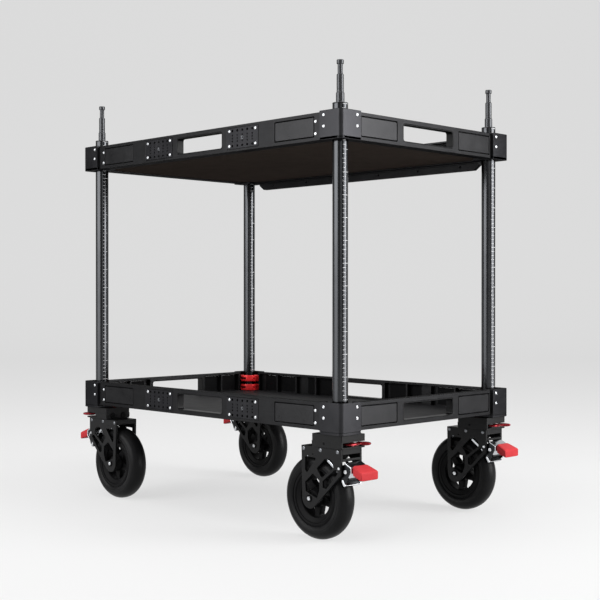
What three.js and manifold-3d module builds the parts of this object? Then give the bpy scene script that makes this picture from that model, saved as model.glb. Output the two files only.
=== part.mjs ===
// Camera cart: two open tray decks on four graduated posts, rolling on four braked swivel casters.
// Millimetres, +Z up. X runs along the long side, -Y is the front, and the origin lies on the floor
// under the middle of the cart.
import * as THREE from "three";
import { mergeVertices } from "three/addons/utils/BufferGeometryUtils.js";
import Module from "manifold-3d";

const wasm = await Module();
wasm.setup();

// Clearances
const seatGap = 0.3;        // between two pieces that rest on or pass through each other
const overrun = 2;          // how far a cutter passes the face that it cuts
const joinDepth = 1;        // how far one part of a welded piece reaches into the other

// Decks
const deckLength = 974;
const deckWidth = 618;
const lowerDeckBase = 249.5;    // floor to the underside of the lower deck's corner walls
const deckSpacing = 641;        // from the lower deck to the same place on the upper deck

// Corner brackets
const cornerLeg = 65;
const cornerHeight = 65;
const cornerWall = 8;
const cornerFillet = 11;
const cornerFloor = 6;
const cornerFlange = 3;
const cornerFlangeDepth = 16;

// Rails between the corners
const railInset = 7;
const railDepth = 20;
const railHeight = 62;
const railLift = 1.5;
const railWeb = 7;
const railFlange = 5;
const railRib = 6;
const railLedgeDepth = 12;
const railLedgeThickness = 2.5;
const windowHeight = 42;
const windowRadius = 7;
const windowFrame = 8;
const longWindowWidth = 173.6;
const shortWindowWidth = 185;
const longPocketsPerSide = 4;
const shortPocketsPerSide = 2;

// Cover panels and drilled plates on the rails' outer faces
const panelHeight = 46;
const panelLength = 128;
const panelRecess = 1.2;
const longPanelFromCorner = 88.5;
const shortPanelFromCorner = 69;
const gridPlateLength = 112;
const gridPlateHeight = 48;
const gridPlateRise = 0.8;
const gridPlateFromCorner = 271;

// Shelves
const shelfThickness = 4;

// Posts and the spigots on top of them
const postRadius = 17.5;
const postWall = 3;
const postInset = 36;
const postStandOut = 18;
const spigotPlugDepth = 28;
const spigotCap = 2;
const spigotFootRadius = 9.5;
const spigotFootHeight = 23;
const spigotBodyRadius = 8;
const spigotBodyHeight = 40;
const spigotNeckRadius = 5.8;
const spigotNeckHeight = 23;
const spigotHeadHeight = 9;
const spigotChamfer = 1;

// Clamps that grip the posts in the corners
const clampRadius = 27.7;
const clampJawHeight = 19;
const clampJawLow = 8.8;
const clampJawSpacing = 27.2;
const clampSlit = 3;
const clampEarReach = 40;
const clampEarHalfWidth = 8;
const clampSpineShare = 0.3;

// Accessory rail under the upper shelf
const accessoryHeight = 21;
const accessoryDepth = 14;
const accessoryInset = 6;
const accessoryChamferLength = 18;
const accessoryChamferHeight = 13;
const accessoryEndClearance = 8;

// Casters: where they stand and the block that bolts to the deck
const swivelFromEnd = 50.5;
const swivelFromSide = 45.8;
const headLength = 91;
const headWidth = 77;
const headHeight = 30;
const kingpinRadius = 10;
const kingpinReach = 9;

// Swivel lock lever
const leverThickness = 9;
const leverLow = 4.5;
const leverInnerRadius = 25;
const leverRadius = 53;
const leverTabReach = 74;
const leverTabWidth = 15;
const leverStart = -35;
const leverEnd = 38;
const leverTabAngle = 32;
const leverSlotBack = 5;
const leverSlotEnd = 34;
const leverSlotPlay = 0.7;

// Fork
const forkHalfWidth = 34;
const forkPlate = 6;
const forkTopPlate = 12;
const forkTrail = 57;
const forkBack = 83;
const forkFront = 39.5;
const forkBossRadius = 23;
const frontLegLow = 157;
const forkBarDrop = 9.4;
const forkBarHeight = 6;
const forkBarDepth = 6.5;

// Wheel
const wheelRadius = 95.5;
const tyreHalfWidth = 25.3;
const rimRadius = 62;
const rimLipHeight = 3.5;
const rimHalfWidth = 21;
const rimLipThickness = 3;
const rimWellRadius = 46;
const rimWellHalfWidth = 14;
const hubRadius = 19;
const hubHalfWidth = 27;
const spokeCount = 5;
const spokeWidth = 10;
const spokeHalfDepth = 8;
const axleRadius = 6;
const axleHeadRadius = 8;
const axleHeadHeight = 3;

// Brake
const brakePivotForward = 33.3;
const brakePivotHeight = 171.2;
const brakePinRadius = 3;
const brakeCheek = 3;
const brakeCheekPlay = 1.6;
const brakeStrap = 3;
const brakeEar = 8;
const brakeHumpForward = 45;
const brakeHumpHeight = 184.5;
const brakeArmStart = 16;
const brakeArmLength = 56.9;
const brakeArmWidth = 6;
const brakeArmRise = 35.5;
const brakeArmDrop = 46;        // from the fork's top plate to the arms' line over the pivot
const shoeForward = 39.5;
const shoeHeight = 139;
const shoeLength = 16;
const shoeThickness = 7;
const shoeLean = 30;
const pedalStart = 64;
const pedalEnd = 94;
const pedalRearHalfWidth = 23.5;
const pedalFrontHalfWidth = 28;
const pedalRearTop = 178;
const pedalFrontTop = 165.5;
const pedalRearHeight = 20;
const pedalFrontHeight = 17;

// Smoothness of round pieces
const roundSides = 16;
const wheelSides = 24;
const pinSides = 10;
const filletSteps = 2;
const sweepSteps = 3;

// Finishes
const finishes = {
  blackAnodised: { color: 0x2a2a2b, roughness: 0.45, metalness: 0.6 },
  postAnodised: { color: 0x2f3032, roughness: 0.3, metalness: 0.8 },
  castBlack: { color: 0x303031, roughness: 0.55, metalness: 0.5 },
  shelfBoard: { color: 0x231f1c, roughness: 0.7, metalness: 0.0 },
  redAnodised: { color: 0xa8282b, roughness: 0.35, metalness: 0.7 },
  redPaint: { color: 0xd8353a, roughness: 0.4, metalness: 0.1 },
  steel: { color: 0xb9bcc0, roughness: 0.3, metalness: 1.0 },
  rubber: { color: 0x1b1b1c, roughness: 0.85, metalness: 0.0 },
};

// A bore's radius, measured to its corners, that keeps its flats clear of a round pin
const boreRadius = (radius, sides) => (radius + seatGap) / Math.cos(Math.PI / sides);

// Worked-out places
const quarterTurn = Math.PI / 2;
const halfTurn = Math.PI;
const fullTurn = 2 * Math.PI;
const upperDeckBase = lowerDeckBase + deckSpacing;
const postTop = upperDeckBase + cornerHeight + postStandOut;
const postBore = boreRadius(postRadius, roundSides);
const headTop = lowerDeckBase - cornerFloor - seatGap;
const headBase = headTop - headHeight;
const forkTop = headBase - seatGap;
const forkPlateLow = forkTop - forkTopPlate;
const forkInner = forkHalfWidth - forkPlate;
const wheelBack = -forkTrail;
const flatDown = 180 / wheelSides;

// Turns a closed three.js geometry into a solid that can be joined and cut.
function solid(geometry) {
  const bare = geometry.index ? geometry.toNonIndexed() : geometry.clone();
  bare.deleteAttribute("normal");
  bare.deleteAttribute("uv");
  const merged = mergeVertices(bare, 1e-4);
  const mesh = new wasm.Mesh({
    numProp: 3,
    vertProperties: new Float32Array(merged.attributes.position.array),
    triVerts: new Uint32Array(merged.index.array),
  });
  mesh.merge();
  return new wasm.Manifold(mesh);
}

// Names a solid and gives it its finish.
function piece(name, body, finish) {
  const result = body.getMesh();
  const geometry = new THREE.BufferGeometry();
  geometry.setAttribute("position", new THREE.BufferAttribute(result.vertProperties, result.numProp));
  geometry.setIndex(new THREE.BufferAttribute(result.triVerts, 1));
  geometry.computeVertexNormals();
  const mesh = new THREE.Mesh(geometry, new THREE.MeshStandardMaterial(finishes[finish]));
  mesh.name = name;
  return mesh;
}

// A block given by its lowest and highest corners.
function block(low, high) {
  const size = high.map((value, axis) => value - low[axis]);
  const geometry = new THREE.BoxGeometry(...size);
  geometry.translate(...high.map((value, axis) => (value + low[axis]) / 2));
  return solid(geometry);
}

// A round bar standing along Z from one height to another.
function upright(radius, low, high, x, y, sides = roundSides) {
  const geometry = new THREE.CylinderGeometry(radius, radius, high - low, sides);
  geometry.rotateX(quarterTurn);
  geometry.translate(x, y, (low + high) / 2);
  return solid(geometry);
}

// A round bar lying along Y.
function crossbar(radius, low, high, x, z, sides = roundSides) {
  const geometry = new THREE.CylinderGeometry(radius, radius, high - low, sides);
  geometry.translate(x, (low + high) / 2, z);
  return solid(geometry);
}

// An outline in X and Y, raised along Z.
function raised(shape, low, high, steps = filletSteps) {
  const settings = { depth: high - low, bevelEnabled: false, curveSegments: steps };
  const geometry = new THREE.ExtrudeGeometry(shape, settings);
  geometry.translate(0, 0, low);
  return solid(geometry);
}

// An outline in X and Z, carried along Y.
function carried(shape, low, high, steps = filletSteps) {
  const settings = { depth: high - low, bevelEnabled: false, curveSegments: steps };
  const geometry = new THREE.ExtrudeGeometry(shape, settings);
  geometry.rotateX(quarterTurn);
  geometry.translate(0, high, 0);
  return solid(geometry);
}

// A profile of [radius, height] points turned round Z.
function turned(profile, sides = roundSides) {
  const points = profile.map(([radius, height]) => new THREE.Vector2(radius, height));
  const geometry = new THREE.LatheGeometry(points, sides);
  geometry.rotateX(quarterTurn);
  return solid(geometry);
}

// A closed outline through a list of [across, up] points.
function outline(points) {
  return new THREE.Shape(points.map(([across, up]) => new THREE.Vector2(across, up)));
}

// An upright or lying rectangle with rounded corners, about its own middle.
function roundedRectangle(width, height, radius, middleX, middleY) {
  const x = width / 2 - radius;
  const y = height / 2 - radius;
  const shape = new THREE.Shape();
  shape.absarc(middleX + x, middleY + y, radius, 0, quarterTurn);
  shape.absarc(middleX - x, middleY + y, radius, quarterTurn, halfTurn);
  shape.absarc(middleX - x, middleY - y, radius, halfTurn, halfTurn + quarterTurn);
  shape.absarc(middleX + x, middleY - y, radius, halfTurn + quarterTurn, fullTurn);
  shape.closePath();
  return shape;
}

// The clamp's two jaws round a post, joined by a spine on the side of the outer corner. Each jaw is
// split and has an ear on each side of the slit.
function clampBody(radius, base) {
  const low = base + clampJawLow;
  const top = low + clampJawSpacing + clampJawHeight;
  const earSides = [postInset - clampEarHalfWidth, postInset + clampEarHalfWidth];
  const ear = block([earSides[0], postInset, low], [earSides[1], postInset + clampEarReach, top]);
  let body = upright(radius, low, top, postInset, postInset).add(ear);
  body = body.subtract(upright(postBore, low - overrun, top + overrun, postInset, postInset));
  const reach = postInset + clampEarReach + overrun;
  const spineEdge = postInset - radius * clampSpineShare;
  const between = [low + clampJawHeight, low + clampJawSpacing];
  body = body.subtract(block([spineEdge, 0, between[0]], [reach, reach, between[1]]));
  body = body.subtract(block([0, spineEdge, between[0]], [reach, reach, between[1]]));
  const slit = clampSlit / 2;
  const slitLow = [postInset - slit, postInset, low - overrun];
  return body.subtract(block(slitLow, [postInset + slit, reach, top + overrun]));
}

// An L-shaped corner with its outer edge at the origin and its legs along +X and +Y.
function cornerBody(floorLow) {
  const square = new THREE.Shape();
  square.moveTo(cornerFillet, 0);
  square.lineTo(cornerLeg, 0);
  square.lineTo(cornerLeg, cornerLeg);
  square.lineTo(0, cornerLeg);
  square.lineTo(0, cornerFillet);
  square.absarc(cornerFillet, cornerFillet, cornerFillet, halfTurn, halfTurn + quarterTurn);
  let body = raised(square, floorLow, cornerHeight);
  const floorTop = floorLow + cornerFloor;
  const reach = cornerLeg + overrun;
  body = body.subtract(block([cornerWall, cornerWall, floorTop], [reach, reach, cornerHeight + overrun]));
  const flangeStart = cornerLeg - cornerFlange;
  const flangeIn = cornerWall - joinDepth;
  const flangeOut = cornerWall + cornerFlangeDepth;
  const flangeLow = floorTop - joinDepth;
  body = body.add(block([flangeStart, flangeIn, flangeLow], [cornerLeg, flangeOut, cornerHeight]));
  body = body.add(block([flangeIn, flangeStart, flangeLow], [flangeOut, cornerLeg, cornerHeight]));
  return body;
}

// The upper deck's corner also slides on its post, so its floor is bored and it carries the clamp.
function upperCornerBody() {
  const bored = cornerBody(0).subtract(
    upright(postBore, -overrun, cornerFloor + overrun, postInset, postInset));
  const clampWallRadius = postInset - cornerWall + joinDepth;
  return bored.add(clampBody(clampWallRadius, 0));
}

// A rail along X, centred, with its outer face at Y zero and its inner side towards +Y.
function railBody(length, windowWidth, pocketsPerSide, panelStart, plateStart) {
  const low = railLift;
  const top = railLift + railHeight;
  const middle = (low + top) / 2;
  const half = length / 2;
  let body = block([-half, 0, low], [half, railDepth, top]);
  const ledgeIn = railDepth - joinDepth;
  body = body.add(block([-half, ledgeIn, low],
    [half, railDepth + railLedgeDepth, low + railLedgeThickness]));
  const window = roundedRectangle(windowWidth, windowHeight, windowRadius, 0, middle);
  body = body.subtract(carried(window, -overrun, railDepth + overrun));
  const pocketsStart = windowWidth / 2 + windowFrame;
  const pitch = (half - pocketsStart) / pocketsPerSide;
  for (const side of [-1, 1]) {
    for (let i = 0; i < pocketsPerSide; i += 1) {
      const inner = pocketsStart + i * pitch;
      const ends = [side * inner, side * (inner + pitch - railRib)].sort((a, b) => a - b);
      body = body.subtract(block([ends[0], railWeb, low + railFlange],
        [ends[1], railDepth + overrun, top - railFlange]));
    }
    const panelEnds = [side * panelStart, side * (panelStart - panelLength)].sort((a, b) => a - b);
    body = body.subtract(block([panelEnds[0], -overrun, middle - panelHeight / 2],
      [panelEnds[1], panelRecess, middle + panelHeight / 2]));
    if (plateStart > 0) {
      const plateEnds = [side * plateStart, side * (plateStart - gridPlateLength)].sort((a, b) => a - b);
      body = body.add(block([plateEnds[0], -gridPlateRise, middle - gridPlateHeight / 2],
        [plateEnds[1], joinDepth, middle + gridPlateHeight / 2]));
    }
  }
  return body;
}

// The shelf lies on the rails' ledges and is notched round the corner brackets.
function shelfBody() {
  const x = deckLength / 2 - railInset - railDepth - seatGap;
  const y = deckWidth / 2 - railInset - railDepth - seatGap;
  const notchX = deckLength / 2 - cornerLeg - seatGap;
  const notchY = deckWidth / 2 - cornerLeg - seatGap;
  const shape = outline([
    [-x, -notchY], [-notchX, -notchY], [-notchX, -y], [notchX, -y], [notchX, -notchY], [x, -notchY],
    [x, notchY], [notchX, notchY], [notchX, y], [-notchX, y], [-notchX, notchY], [-x, notchY],
  ]);
  const low = railLift + railLedgeThickness + seatGap;
  return raised(shape, low, low + shelfThickness);
}

// A tube, open at both ends, standing on the lower corner's floor.
function postBody() {
  const low = lowerDeckBase + seatGap;
  const top = postTop - spigotCap - seatGap;
  const inner = postRadius - postWall;
  return turned([[inner, low], [postRadius, low], [postRadius, top], [inner, top], [inner, low]]);
}

// A stepped pin with a plug that fills the top of the post.
function spigotBody() {
  const plugRadius = postRadius - postWall - seatGap;
  const seat = postTop - spigotCap;
  const footTop = postTop + spigotFootHeight;
  const bodyTop = footTop + spigotBodyHeight;
  const neckTop = bodyTop + spigotNeckHeight;
  const headTopHeight = neckTop + spigotHeadHeight;
  return turned([
    [0, seat - spigotPlugDepth], [plugRadius, seat - spigotPlugDepth], [plugRadius, seat],
    [postRadius, seat], [postRadius, postTop], [spigotFootRadius, postTop],
    [spigotFootRadius, footTop], [spigotBodyRadius, footTop], [spigotBodyRadius, bodyTop],
    [spigotNeckRadius, bodyTop], [spigotNeckRadius, neckTop], [spigotBodyRadius, neckTop],
    [spigotBodyRadius, headTopHeight - spigotChamfer],
    [spigotBodyRadius - spigotChamfer, headTopHeight], [0, headTopHeight],
  ], pinSides);
}

// A flat bar under the rear rail with both lower corners cut back.
function accessoryRailBody() {
  const half = deckLength / 2 - cornerLeg - accessoryEndClearance;
  const top = upperDeckBase + railLift - seatGap;
  const low = top - accessoryHeight;
  const shape = outline([
    [-half + accessoryChamferLength, low], [half - accessoryChamferLength, low],
    [half, low + accessoryChamferHeight], [half, top], [-half, top],
    [-half, low + accessoryChamferHeight],
  ]);
  const outer = deckWidth / 2 - railInset - accessoryInset;
  return carried(shape, outer - accessoryDepth, outer);
}

// The block that bolts under the corner, with a slot for the lever and the pin that the fork turns on.
function headBody() {
  const halfLength = headLength / 2;
  const halfWidth = headWidth / 2;
  let body = block([-halfLength, -halfWidth, headBase], [halfLength, halfWidth, headTop]);
  const slotLow = headBase + leverLow - leverSlotPlay;
  const slotTop = headBase + leverLow + leverThickness + leverSlotPlay;
  const slot = block([leverSlotBack, -leverSlotEnd, slotLow],
    [halfLength + overrun, halfWidth + overrun, slotTop]);
  const coreRadius = leverInnerRadius - leverSlotPlay;
  const core = upright(coreRadius, slotLow - overrun, slotTop + overrun, 0, 0, pinSides);
  body = body.subtract(slot.subtract(core));
  return body.add(upright(kingpinRadius, headBase - kingpinReach, headBase + joinDepth, 0, 0, pinSides));
}

// A curved plate round the kingpin, with a thumb tab at its free end.
function leverBody() {
  const low = headBase + leverLow;
  const top = low + leverThickness;
  const start = THREE.MathUtils.degToRad(leverStart);
  const end = THREE.MathUtils.degToRad(leverEnd);
  const shape = new THREE.Shape();
  shape.absarc(0, 0, leverRadius, start, end);
  shape.absarc(0, 0, leverInnerRadius, end, start, true);
  shape.closePath();
  const plate = raised(shape, low, top, sweepSteps);
  const tabStart = leverInnerRadius + joinDepth;
  const tabRound = leverTabWidth / 3;
  const tabShape = roundedRectangle(leverTabReach - tabStart, leverTabWidth, tabRound,
    (leverTabReach + tabStart) / 2, 0);
  return plate.add(raised(tabShape, low, top).rotate([0, 0, leverTabAngle]));
}

// One side plate's outline: steep trailing edge, round boss at the axle, sloping leading edge.
function forkOutline() {
  const slope = quarterTurn / 2;
  const shape = new THREE.Shape();
  shape.moveTo(-forkBack, forkTop);
  shape.absarc(wheelBack, wheelRadius, forkBossRadius, halfTurn, fullTurn - slope);
  shape.lineTo(forkFront, frontLegLow);
  shape.lineTo(forkFront, forkTop);
  shape.closePath();
  return shape;
}

// The four openings of the truss between a side plate's struts, as shares of the plate's own
// width, from the trailing edge, and of its height above the axle.
function forkOpenings() {
  const width = forkFront + forkBack;
  const height = forkTop - wheelRadius;
  const openingShares = [
    [[0.098, 0.788], [0.384, 0.788], [0.139, 0.481], [0.098, 0.53]],
    [[0.599, 0.788], [0.702, 0.805], [0.788, 0.745], [0.812, 0.643], [0.514, 0.422], [0.394, 0.588]],
    [[0.297, 0.481], [0.457, 0.362], [0.457, 0.175], [0.396, 0.017], [0.114, 0.124], [0.1, 0.302]],
    [[0.829, 0.592], [0.882, 0.613], [0.918, 0.545], [0.629, 0.226], [0.551, 0.234], [0.543, 0.362]],
  ];
  return openingShares.map((shares) => outline(shares.map(
    ([across, up]) => [-forkBack + across * width, wheelRadius + up * height])));
}

// Two truss side plates under a thick top plate, with a bar between their front edges, bored for the
// kingpin, the axle and the brake pin.
function forkBody() {
  let body = carried(forkOutline(), -forkHalfWidth, forkHalfWidth, sweepSteps);
  body = body.subtract(block([-forkBack - overrun, -forkInner, 0],
    [forkFront + overrun, forkInner, forkPlateLow]));
  for (const opening of forkOpenings()) {
    body = body.subtract(carried(opening, -forkHalfWidth - overrun, forkHalfWidth + overrun));
  }
  const barTop = forkPlateLow - forkBarDrop;
  const barReach = forkInner + joinDepth;
  body = body.add(block([forkFront - forkBarDepth, -barReach, barTop - forkBarHeight],
    [forkFront, barReach, barTop]));
  const kingpinBore = boreRadius(kingpinRadius, pinSides);
  body = body.subtract(upright(kingpinBore, forkPlateLow - overrun, forkTop + overrun, 0, 0, pinSides));
  const cutReach = forkHalfWidth + overrun;
  const bore = (radius, x, z) => crossbar(boreRadius(radius, pinSides), -cutReach, cutReach, x, z, pinSides);
  body = body.subtract(bore(axleRadius, wheelBack, wheelRadius));
  body = body.subtract(bore(brakePinRadius, brakePivotForward, brakePivotHeight));
  return body;
}

// A through bolt with a head at each end.
function axleBody() {
  const seat = forkHalfWidth + seatGap;
  const end = seat + axleHeadHeight;
  return turned([
    [0, -end], [axleHeadRadius, -end], [axleHeadRadius, -seat], [axleRadius, -seat],
    [axleRadius, seat], [axleHeadRadius, seat], [axleHeadRadius, end], [0, end],
  ], pinSides).rotate([90, 0, 0]).translate([wheelBack, 0, wheelRadius]);
}

// A spoked wheel: barrel with two lips, hub and straight spokes.
function rimBody() {
  const lip = rimRadius + rimLipHeight;
  const lipIn = rimHalfWidth - rimLipThickness;
  let body = turned([
    [rimWellRadius, -rimWellHalfWidth], [lip, -rimHalfWidth], [lip, -lipIn], [rimRadius, -lipIn],
    [rimRadius, lipIn], [lip, lipIn], [lip, rimHalfWidth], [rimWellRadius, rimWellHalfWidth],
    [rimWellRadius, -rimWellHalfWidth],
  ], wheelSides).rotate([0, 0, flatDown]);
  body = body.add(upright(hubRadius, -hubHalfWidth, hubHalfWidth, 0, 0, pinSides));
  const spoke = block([hubRadius - overrun, -spokeWidth / 2, -spokeHalfDepth],
    [rimWellRadius + joinDepth, spokeWidth / 2, spokeHalfDepth]);
  for (let i = 0; i < spokeCount; i += 1) {
    body = body.add(spoke.rotate([0, 0, i * 360 / spokeCount - 90]));
  }
  const boreHalf = hubHalfWidth + overrun;
  const bore = upright(boreRadius(axleRadius, pinSides), -boreHalf, boreHalf, 0, 0, pinSides);
  return body.subtract(bore).rotate([90, 0, 0]).translate([wheelBack, 0, wheelRadius]);
}

// A fat round tyre whose section is given by shares of its height and of its half width. Its flats
// lie on the rolling radius, and one of them is down.
function tyreBody() {
  const bead = rimRadius + seatGap;
  const depth = wheelRadius - bead;
  const beadHalf = rimHalfWidth - rimLipThickness - seatGap;
  const sectionShares = [[0.3, 0.97], [0.7, 0.92], [1, 0.35]];
  const overFlats = 1 / Math.cos(Math.PI / wheelSides);
  const side = sectionShares.map(([up, out]) => [(bead + up * depth) * overFlats, out * tyreHalfWidth]);
  const lower = side.map(([radius, out]) => [radius, -out]);
  const upper = [...side].reverse();
  const clearOfLip = rimRadius + rimLipHeight + seatGap;
  const profile = [[bead, -beadHalf], [clearOfLip, -beadHalf], ...lower, ...upper,
    [clearOfLip, beadHalf], [bead, beadHalf], [bead, -beadHalf]];
  return turned(profile, wheelSides).rotate([0, 0, flatDown]).rotate([90, 0, 0])
    .translate([wheelBack, 0, wheelRadius]);
}

// The wedge-shaped foot pad, wider and lower at its free end.
function pedalBlock() {
  const rear = [pedalRearHalfWidth, pedalRearTop - pedalRearHeight, pedalRearTop];
  const front = [pedalFrontHalfWidth, pedalFrontTop - pedalFrontHeight, pedalFrontTop];
  const geometry = new THREE.BoxGeometry(1, 2, 1);
  const place = geometry.attributes.position;
  for (let i = 0; i < place.count; i += 1) {
    const [halfWidth, low, top] = place.getX(i) < 0 ? rear : front;
    const x = place.getX(i) < 0 ? pedalStart : pedalEnd;
    place.setXYZ(i, x, place.getY(i) * halfWidth, place.getZ(i) < 0 ? low : top);
  }
  return solid(geometry);
}

// The brake: two cheeks on a pin, each with an arm over the tyre's shoulder, a strap that holds the
// foot pad and a shoe in front of the tyre.
function brakeBody() {
  const outer = forkInner - brakeCheekPlay;
  const inner = outer - brakeCheek;
  const strapBack = pedalStart - brakeStrap;
  const armTurn = THREE.MathUtils.degToRad(brakeArmRise);
  const along = [-Math.cos(armTurn), Math.sin(armTurn)];
  const armPoint = (length, side) => [
    brakePivotForward + length * along[0] + side * along[1],
    forkPlateLow - brakeArmDrop + length * along[1] - side * along[0],
  ];
  const armHalf = brakeArmWidth / 2;
  const cheek = outline([
    armPoint(brakeArmLength, armHalf), armPoint(brakeArmLength, -armHalf), armPoint(brakeEar, -armHalf),
    [shoeForward - brakeEar, shoeHeight + brakeEar], [shoeForward, shoeHeight - shoeThickness],
    [shoeForward + brakeEar, shoeHeight], [pedalStart, pedalRearTop - pedalRearHeight],
    [pedalStart, pedalRearTop], [brakeHumpForward, brakeHumpHeight],
    [brakePivotForward, brakePivotHeight + brakeEar], armPoint(brakeArmStart, armHalf),
  ]);
  let body = carried(cheek, -outer, outer);
  const clear = outline([[-forkBack, 0], [strapBack, 0], [strapBack, forkTop], [-forkBack, forkTop]]);
  body = body.subtract(carried(clear, -inner, inner));
  const shoe = block([-shoeThickness / 2, -outer, -shoeLength / 2],
    [shoeThickness / 2, outer, shoeLength / 2]);
  body = body.add(shoe.rotate([0, -shoeLean, 0]).translate([shoeForward, 0, shoeHeight]));
  const pinEnd = forkHalfWidth + seatGap;
  return body.add(crossbar(brakePinRadius, -pinEnd, pinEnd, brakePivotForward, brakePivotHeight, pinSides))
    .add(pedalBlock());
}

// One caster in its own frame: the swivel axis is Z and the pedal points to +X.
function caster(place) {
  const group = new THREE.Group();
  group.add(
    piece(`${place}_caster_head`, headBody(), "castBlack"),
    piece(`${place}_swivel_lock_lever`, leverBody(), "redAnodised"),
    piece(`${place}_fork`, forkBody(), "castBlack"),
    piece(`${place}_axle`, axleBody(), "steel"),
    piece(`${place}_wheel_rim`, rimBody(), "castBlack"),
    piece(`${place}_tyre`, tyreBody(), "rubber"),
    piece(`${place}_brake_pedal`, brakeBody(), "redPaint"),
  );
  return group;
}

const cart = new THREE.Group();

// The four corners, with the turn that brings the corner bracket's legs along the deck's edges
const corners = [
  { place: "front_left", x: -1, y: -1, turn: 0 },
  { place: "front_right", x: 1, y: -1, turn: quarterTurn },
  { place: "rear_right", x: 1, y: 1, turn: halfTurn },
  { place: "rear_left", x: -1, y: 1, turn: -quarterTurn },
];
for (const corner of corners) {
  const lower = new THREE.Group();
  lower.position.set(corner.x * deckLength / 2, corner.y * deckWidth / 2, lowerDeckBase);
  lower.rotation.z = corner.turn;
  lower.add(piece(`${corner.place}_lower_corner`, cornerBody(-cornerFloor), "blackAnodised"));
  lower.add(piece(`${corner.place}_post_clamp`, clampBody(clampRadius, 0), "redAnodised"));
  const upper = new THREE.Group();
  upper.position.set(corner.x * deckLength / 2, corner.y * deckWidth / 2, upperDeckBase);
  upper.rotation.z = corner.turn;
  upper.add(piece(`${corner.place}_upper_corner`, upperCornerBody(), "blackAnodised"));

  const post = new THREE.Group();
  post.position.set(corner.x * (deckLength / 2 - postInset), corner.y * (deckWidth / 2 - postInset), 0);
  post.add(piece(`${corner.place}_post`, postBody(), "postAnodised"));
  post.add(piece(`${corner.place}_spigot`, spigotBody(), "blackAnodised"));

  const swivel = caster(corner.place);
  const swivelX = corner.x * (deckLength / 2 - swivelFromEnd);
  const swivelY = corner.y * (deckWidth / 2 - swivelFromSide);
  swivel.position.set(swivelX, swivelY, 0);
  swivel.rotation.z = corner.x > 0 ? 0 : halfTurn;
  cart.add(lower, upper, post, swivel);
}

// The four rails and the shelf of each deck
const sides = [
  { place: "front", long: true, x: 0, y: -1, turn: 0 },
  { place: "right", long: false, x: 1, y: 0, turn: quarterTurn },
  { place: "rear", long: true, x: 0, y: 1, turn: halfTurn },
  { place: "left", long: false, x: -1, y: 0, turn: -quarterTurn },
];
const railEnds = 2 * (cornerLeg + seatGap);
for (const [deck, base] of [["lower", lowerDeckBase], ["upper", upperDeckBase]]) {
  for (const side of sides) {
    const holder = new THREE.Group();
    const outX = side.x * (deckLength / 2 - railInset);
    const outY = side.y * (deckWidth / 2 - railInset);
    holder.position.set(outX, outY, base);
    holder.rotation.z = side.turn;
    const body = side.long
      ? railBody(deckLength - railEnds, longWindowWidth, longPocketsPerSide,
        deckLength / 2 - longPanelFromCorner, deckLength / 2 - gridPlateFromCorner)
      : railBody(deckWidth - railEnds, shortWindowWidth, shortPocketsPerSide,
        deckWidth / 2 - shortPanelFromCorner, 0);
    holder.add(piece(`${deck}_${side.place}_rail`, body, "blackAnodised"));
    cart.add(holder);
  }
  const shelf = piece(`${deck}_shelf`, shelfBody(), "shelfBoard");
  shelf.position.z = base;
  cart.add(shelf);
}
cart.add(piece("accessory_rail", accessoryRailBody(), "blackAnodised"));

export default cart;
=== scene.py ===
"""Camera cart: two tray decks on four graduated posts, with red post clamps and four braked casters.

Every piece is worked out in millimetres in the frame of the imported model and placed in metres.
"""

import math

import bmesh
import bpy
import numpy as np
from bpy.props import FloatProperty, FloatVectorProperty, IntProperty, PointerProperty
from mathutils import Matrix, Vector
from mathutils.geometry import tessellate_polygon


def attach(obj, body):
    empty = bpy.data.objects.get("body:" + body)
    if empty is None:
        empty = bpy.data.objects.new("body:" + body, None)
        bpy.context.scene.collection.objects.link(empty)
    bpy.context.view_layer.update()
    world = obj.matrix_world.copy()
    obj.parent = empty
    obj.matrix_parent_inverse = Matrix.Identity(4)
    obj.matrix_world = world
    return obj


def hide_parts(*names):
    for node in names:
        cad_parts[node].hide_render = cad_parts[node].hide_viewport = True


bl_info = {
    "name": "Camera Cart",
    "version": (1, 0, 0),
    "blender": (4, 5, 0),
    "location": "View3D > Sidebar > Camera Cart",
    "description": "Builds a two-deck camera cart with graduated posts and braked casters",
    "category": "Add Mesh",
}

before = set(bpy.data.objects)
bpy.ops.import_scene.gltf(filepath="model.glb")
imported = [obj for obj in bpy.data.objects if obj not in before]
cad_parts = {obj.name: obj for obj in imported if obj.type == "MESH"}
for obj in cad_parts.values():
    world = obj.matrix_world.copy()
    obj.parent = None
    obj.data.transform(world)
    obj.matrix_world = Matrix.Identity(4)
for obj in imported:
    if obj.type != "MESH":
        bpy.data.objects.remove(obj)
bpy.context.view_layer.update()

MM = 0.001
PLACES = {"front_left": (-1, -1, 0), "front_right": (1, -1, 90), "rear_right": (1, 1, 180),
          "rear_left": (-1, 1, 270)}
SIDES = {"front": (0, -1, 0), "right": (1, 0, 90), "rear": (0, 1, 180), "left": (-1, 0, 270)}
DECKS = {"lower": ("base", 249.5), "upper": ("top_deck", 890.5)}

# Decks
DECK_LENGTH, DECK_WIDTH = 974.0, 618.0
CORNER_LEG, CORNER_HEIGHT, CORNER_WALL, CORNER_FILLET, CORNER_FLOOR = 65.0, 65.0, 8.0, 11.0, 6.0
POST_RADIUS, POST_INSET, POST_TOP = 17.5, 36.0, 971.2
RAIL_INSET, RAIL_DEPTH, RAIL_LOW, RAIL_TOP, RAIL_WEB = 7.0, 20.0, 1.5, 63.5, 7.0
RAIL_MIDDLE = (RAIL_LOW + RAIL_TOP) / 2
GAP = 0.3

# Casters, in their own frame: swivel axis at the origin, pedal towards +X
SWIVEL_X, SWIVEL_Y = 436.5, 263.2
HEAD_TOP, HEAD_BASE, FORK_TOP = 243.2, 213.2, 212.9
WHEEL_BACK, WHEEL_RADIUS = -57.0, 95.5
FORK_HALF, FORK_PLATE = 34.0, 6.0


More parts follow.
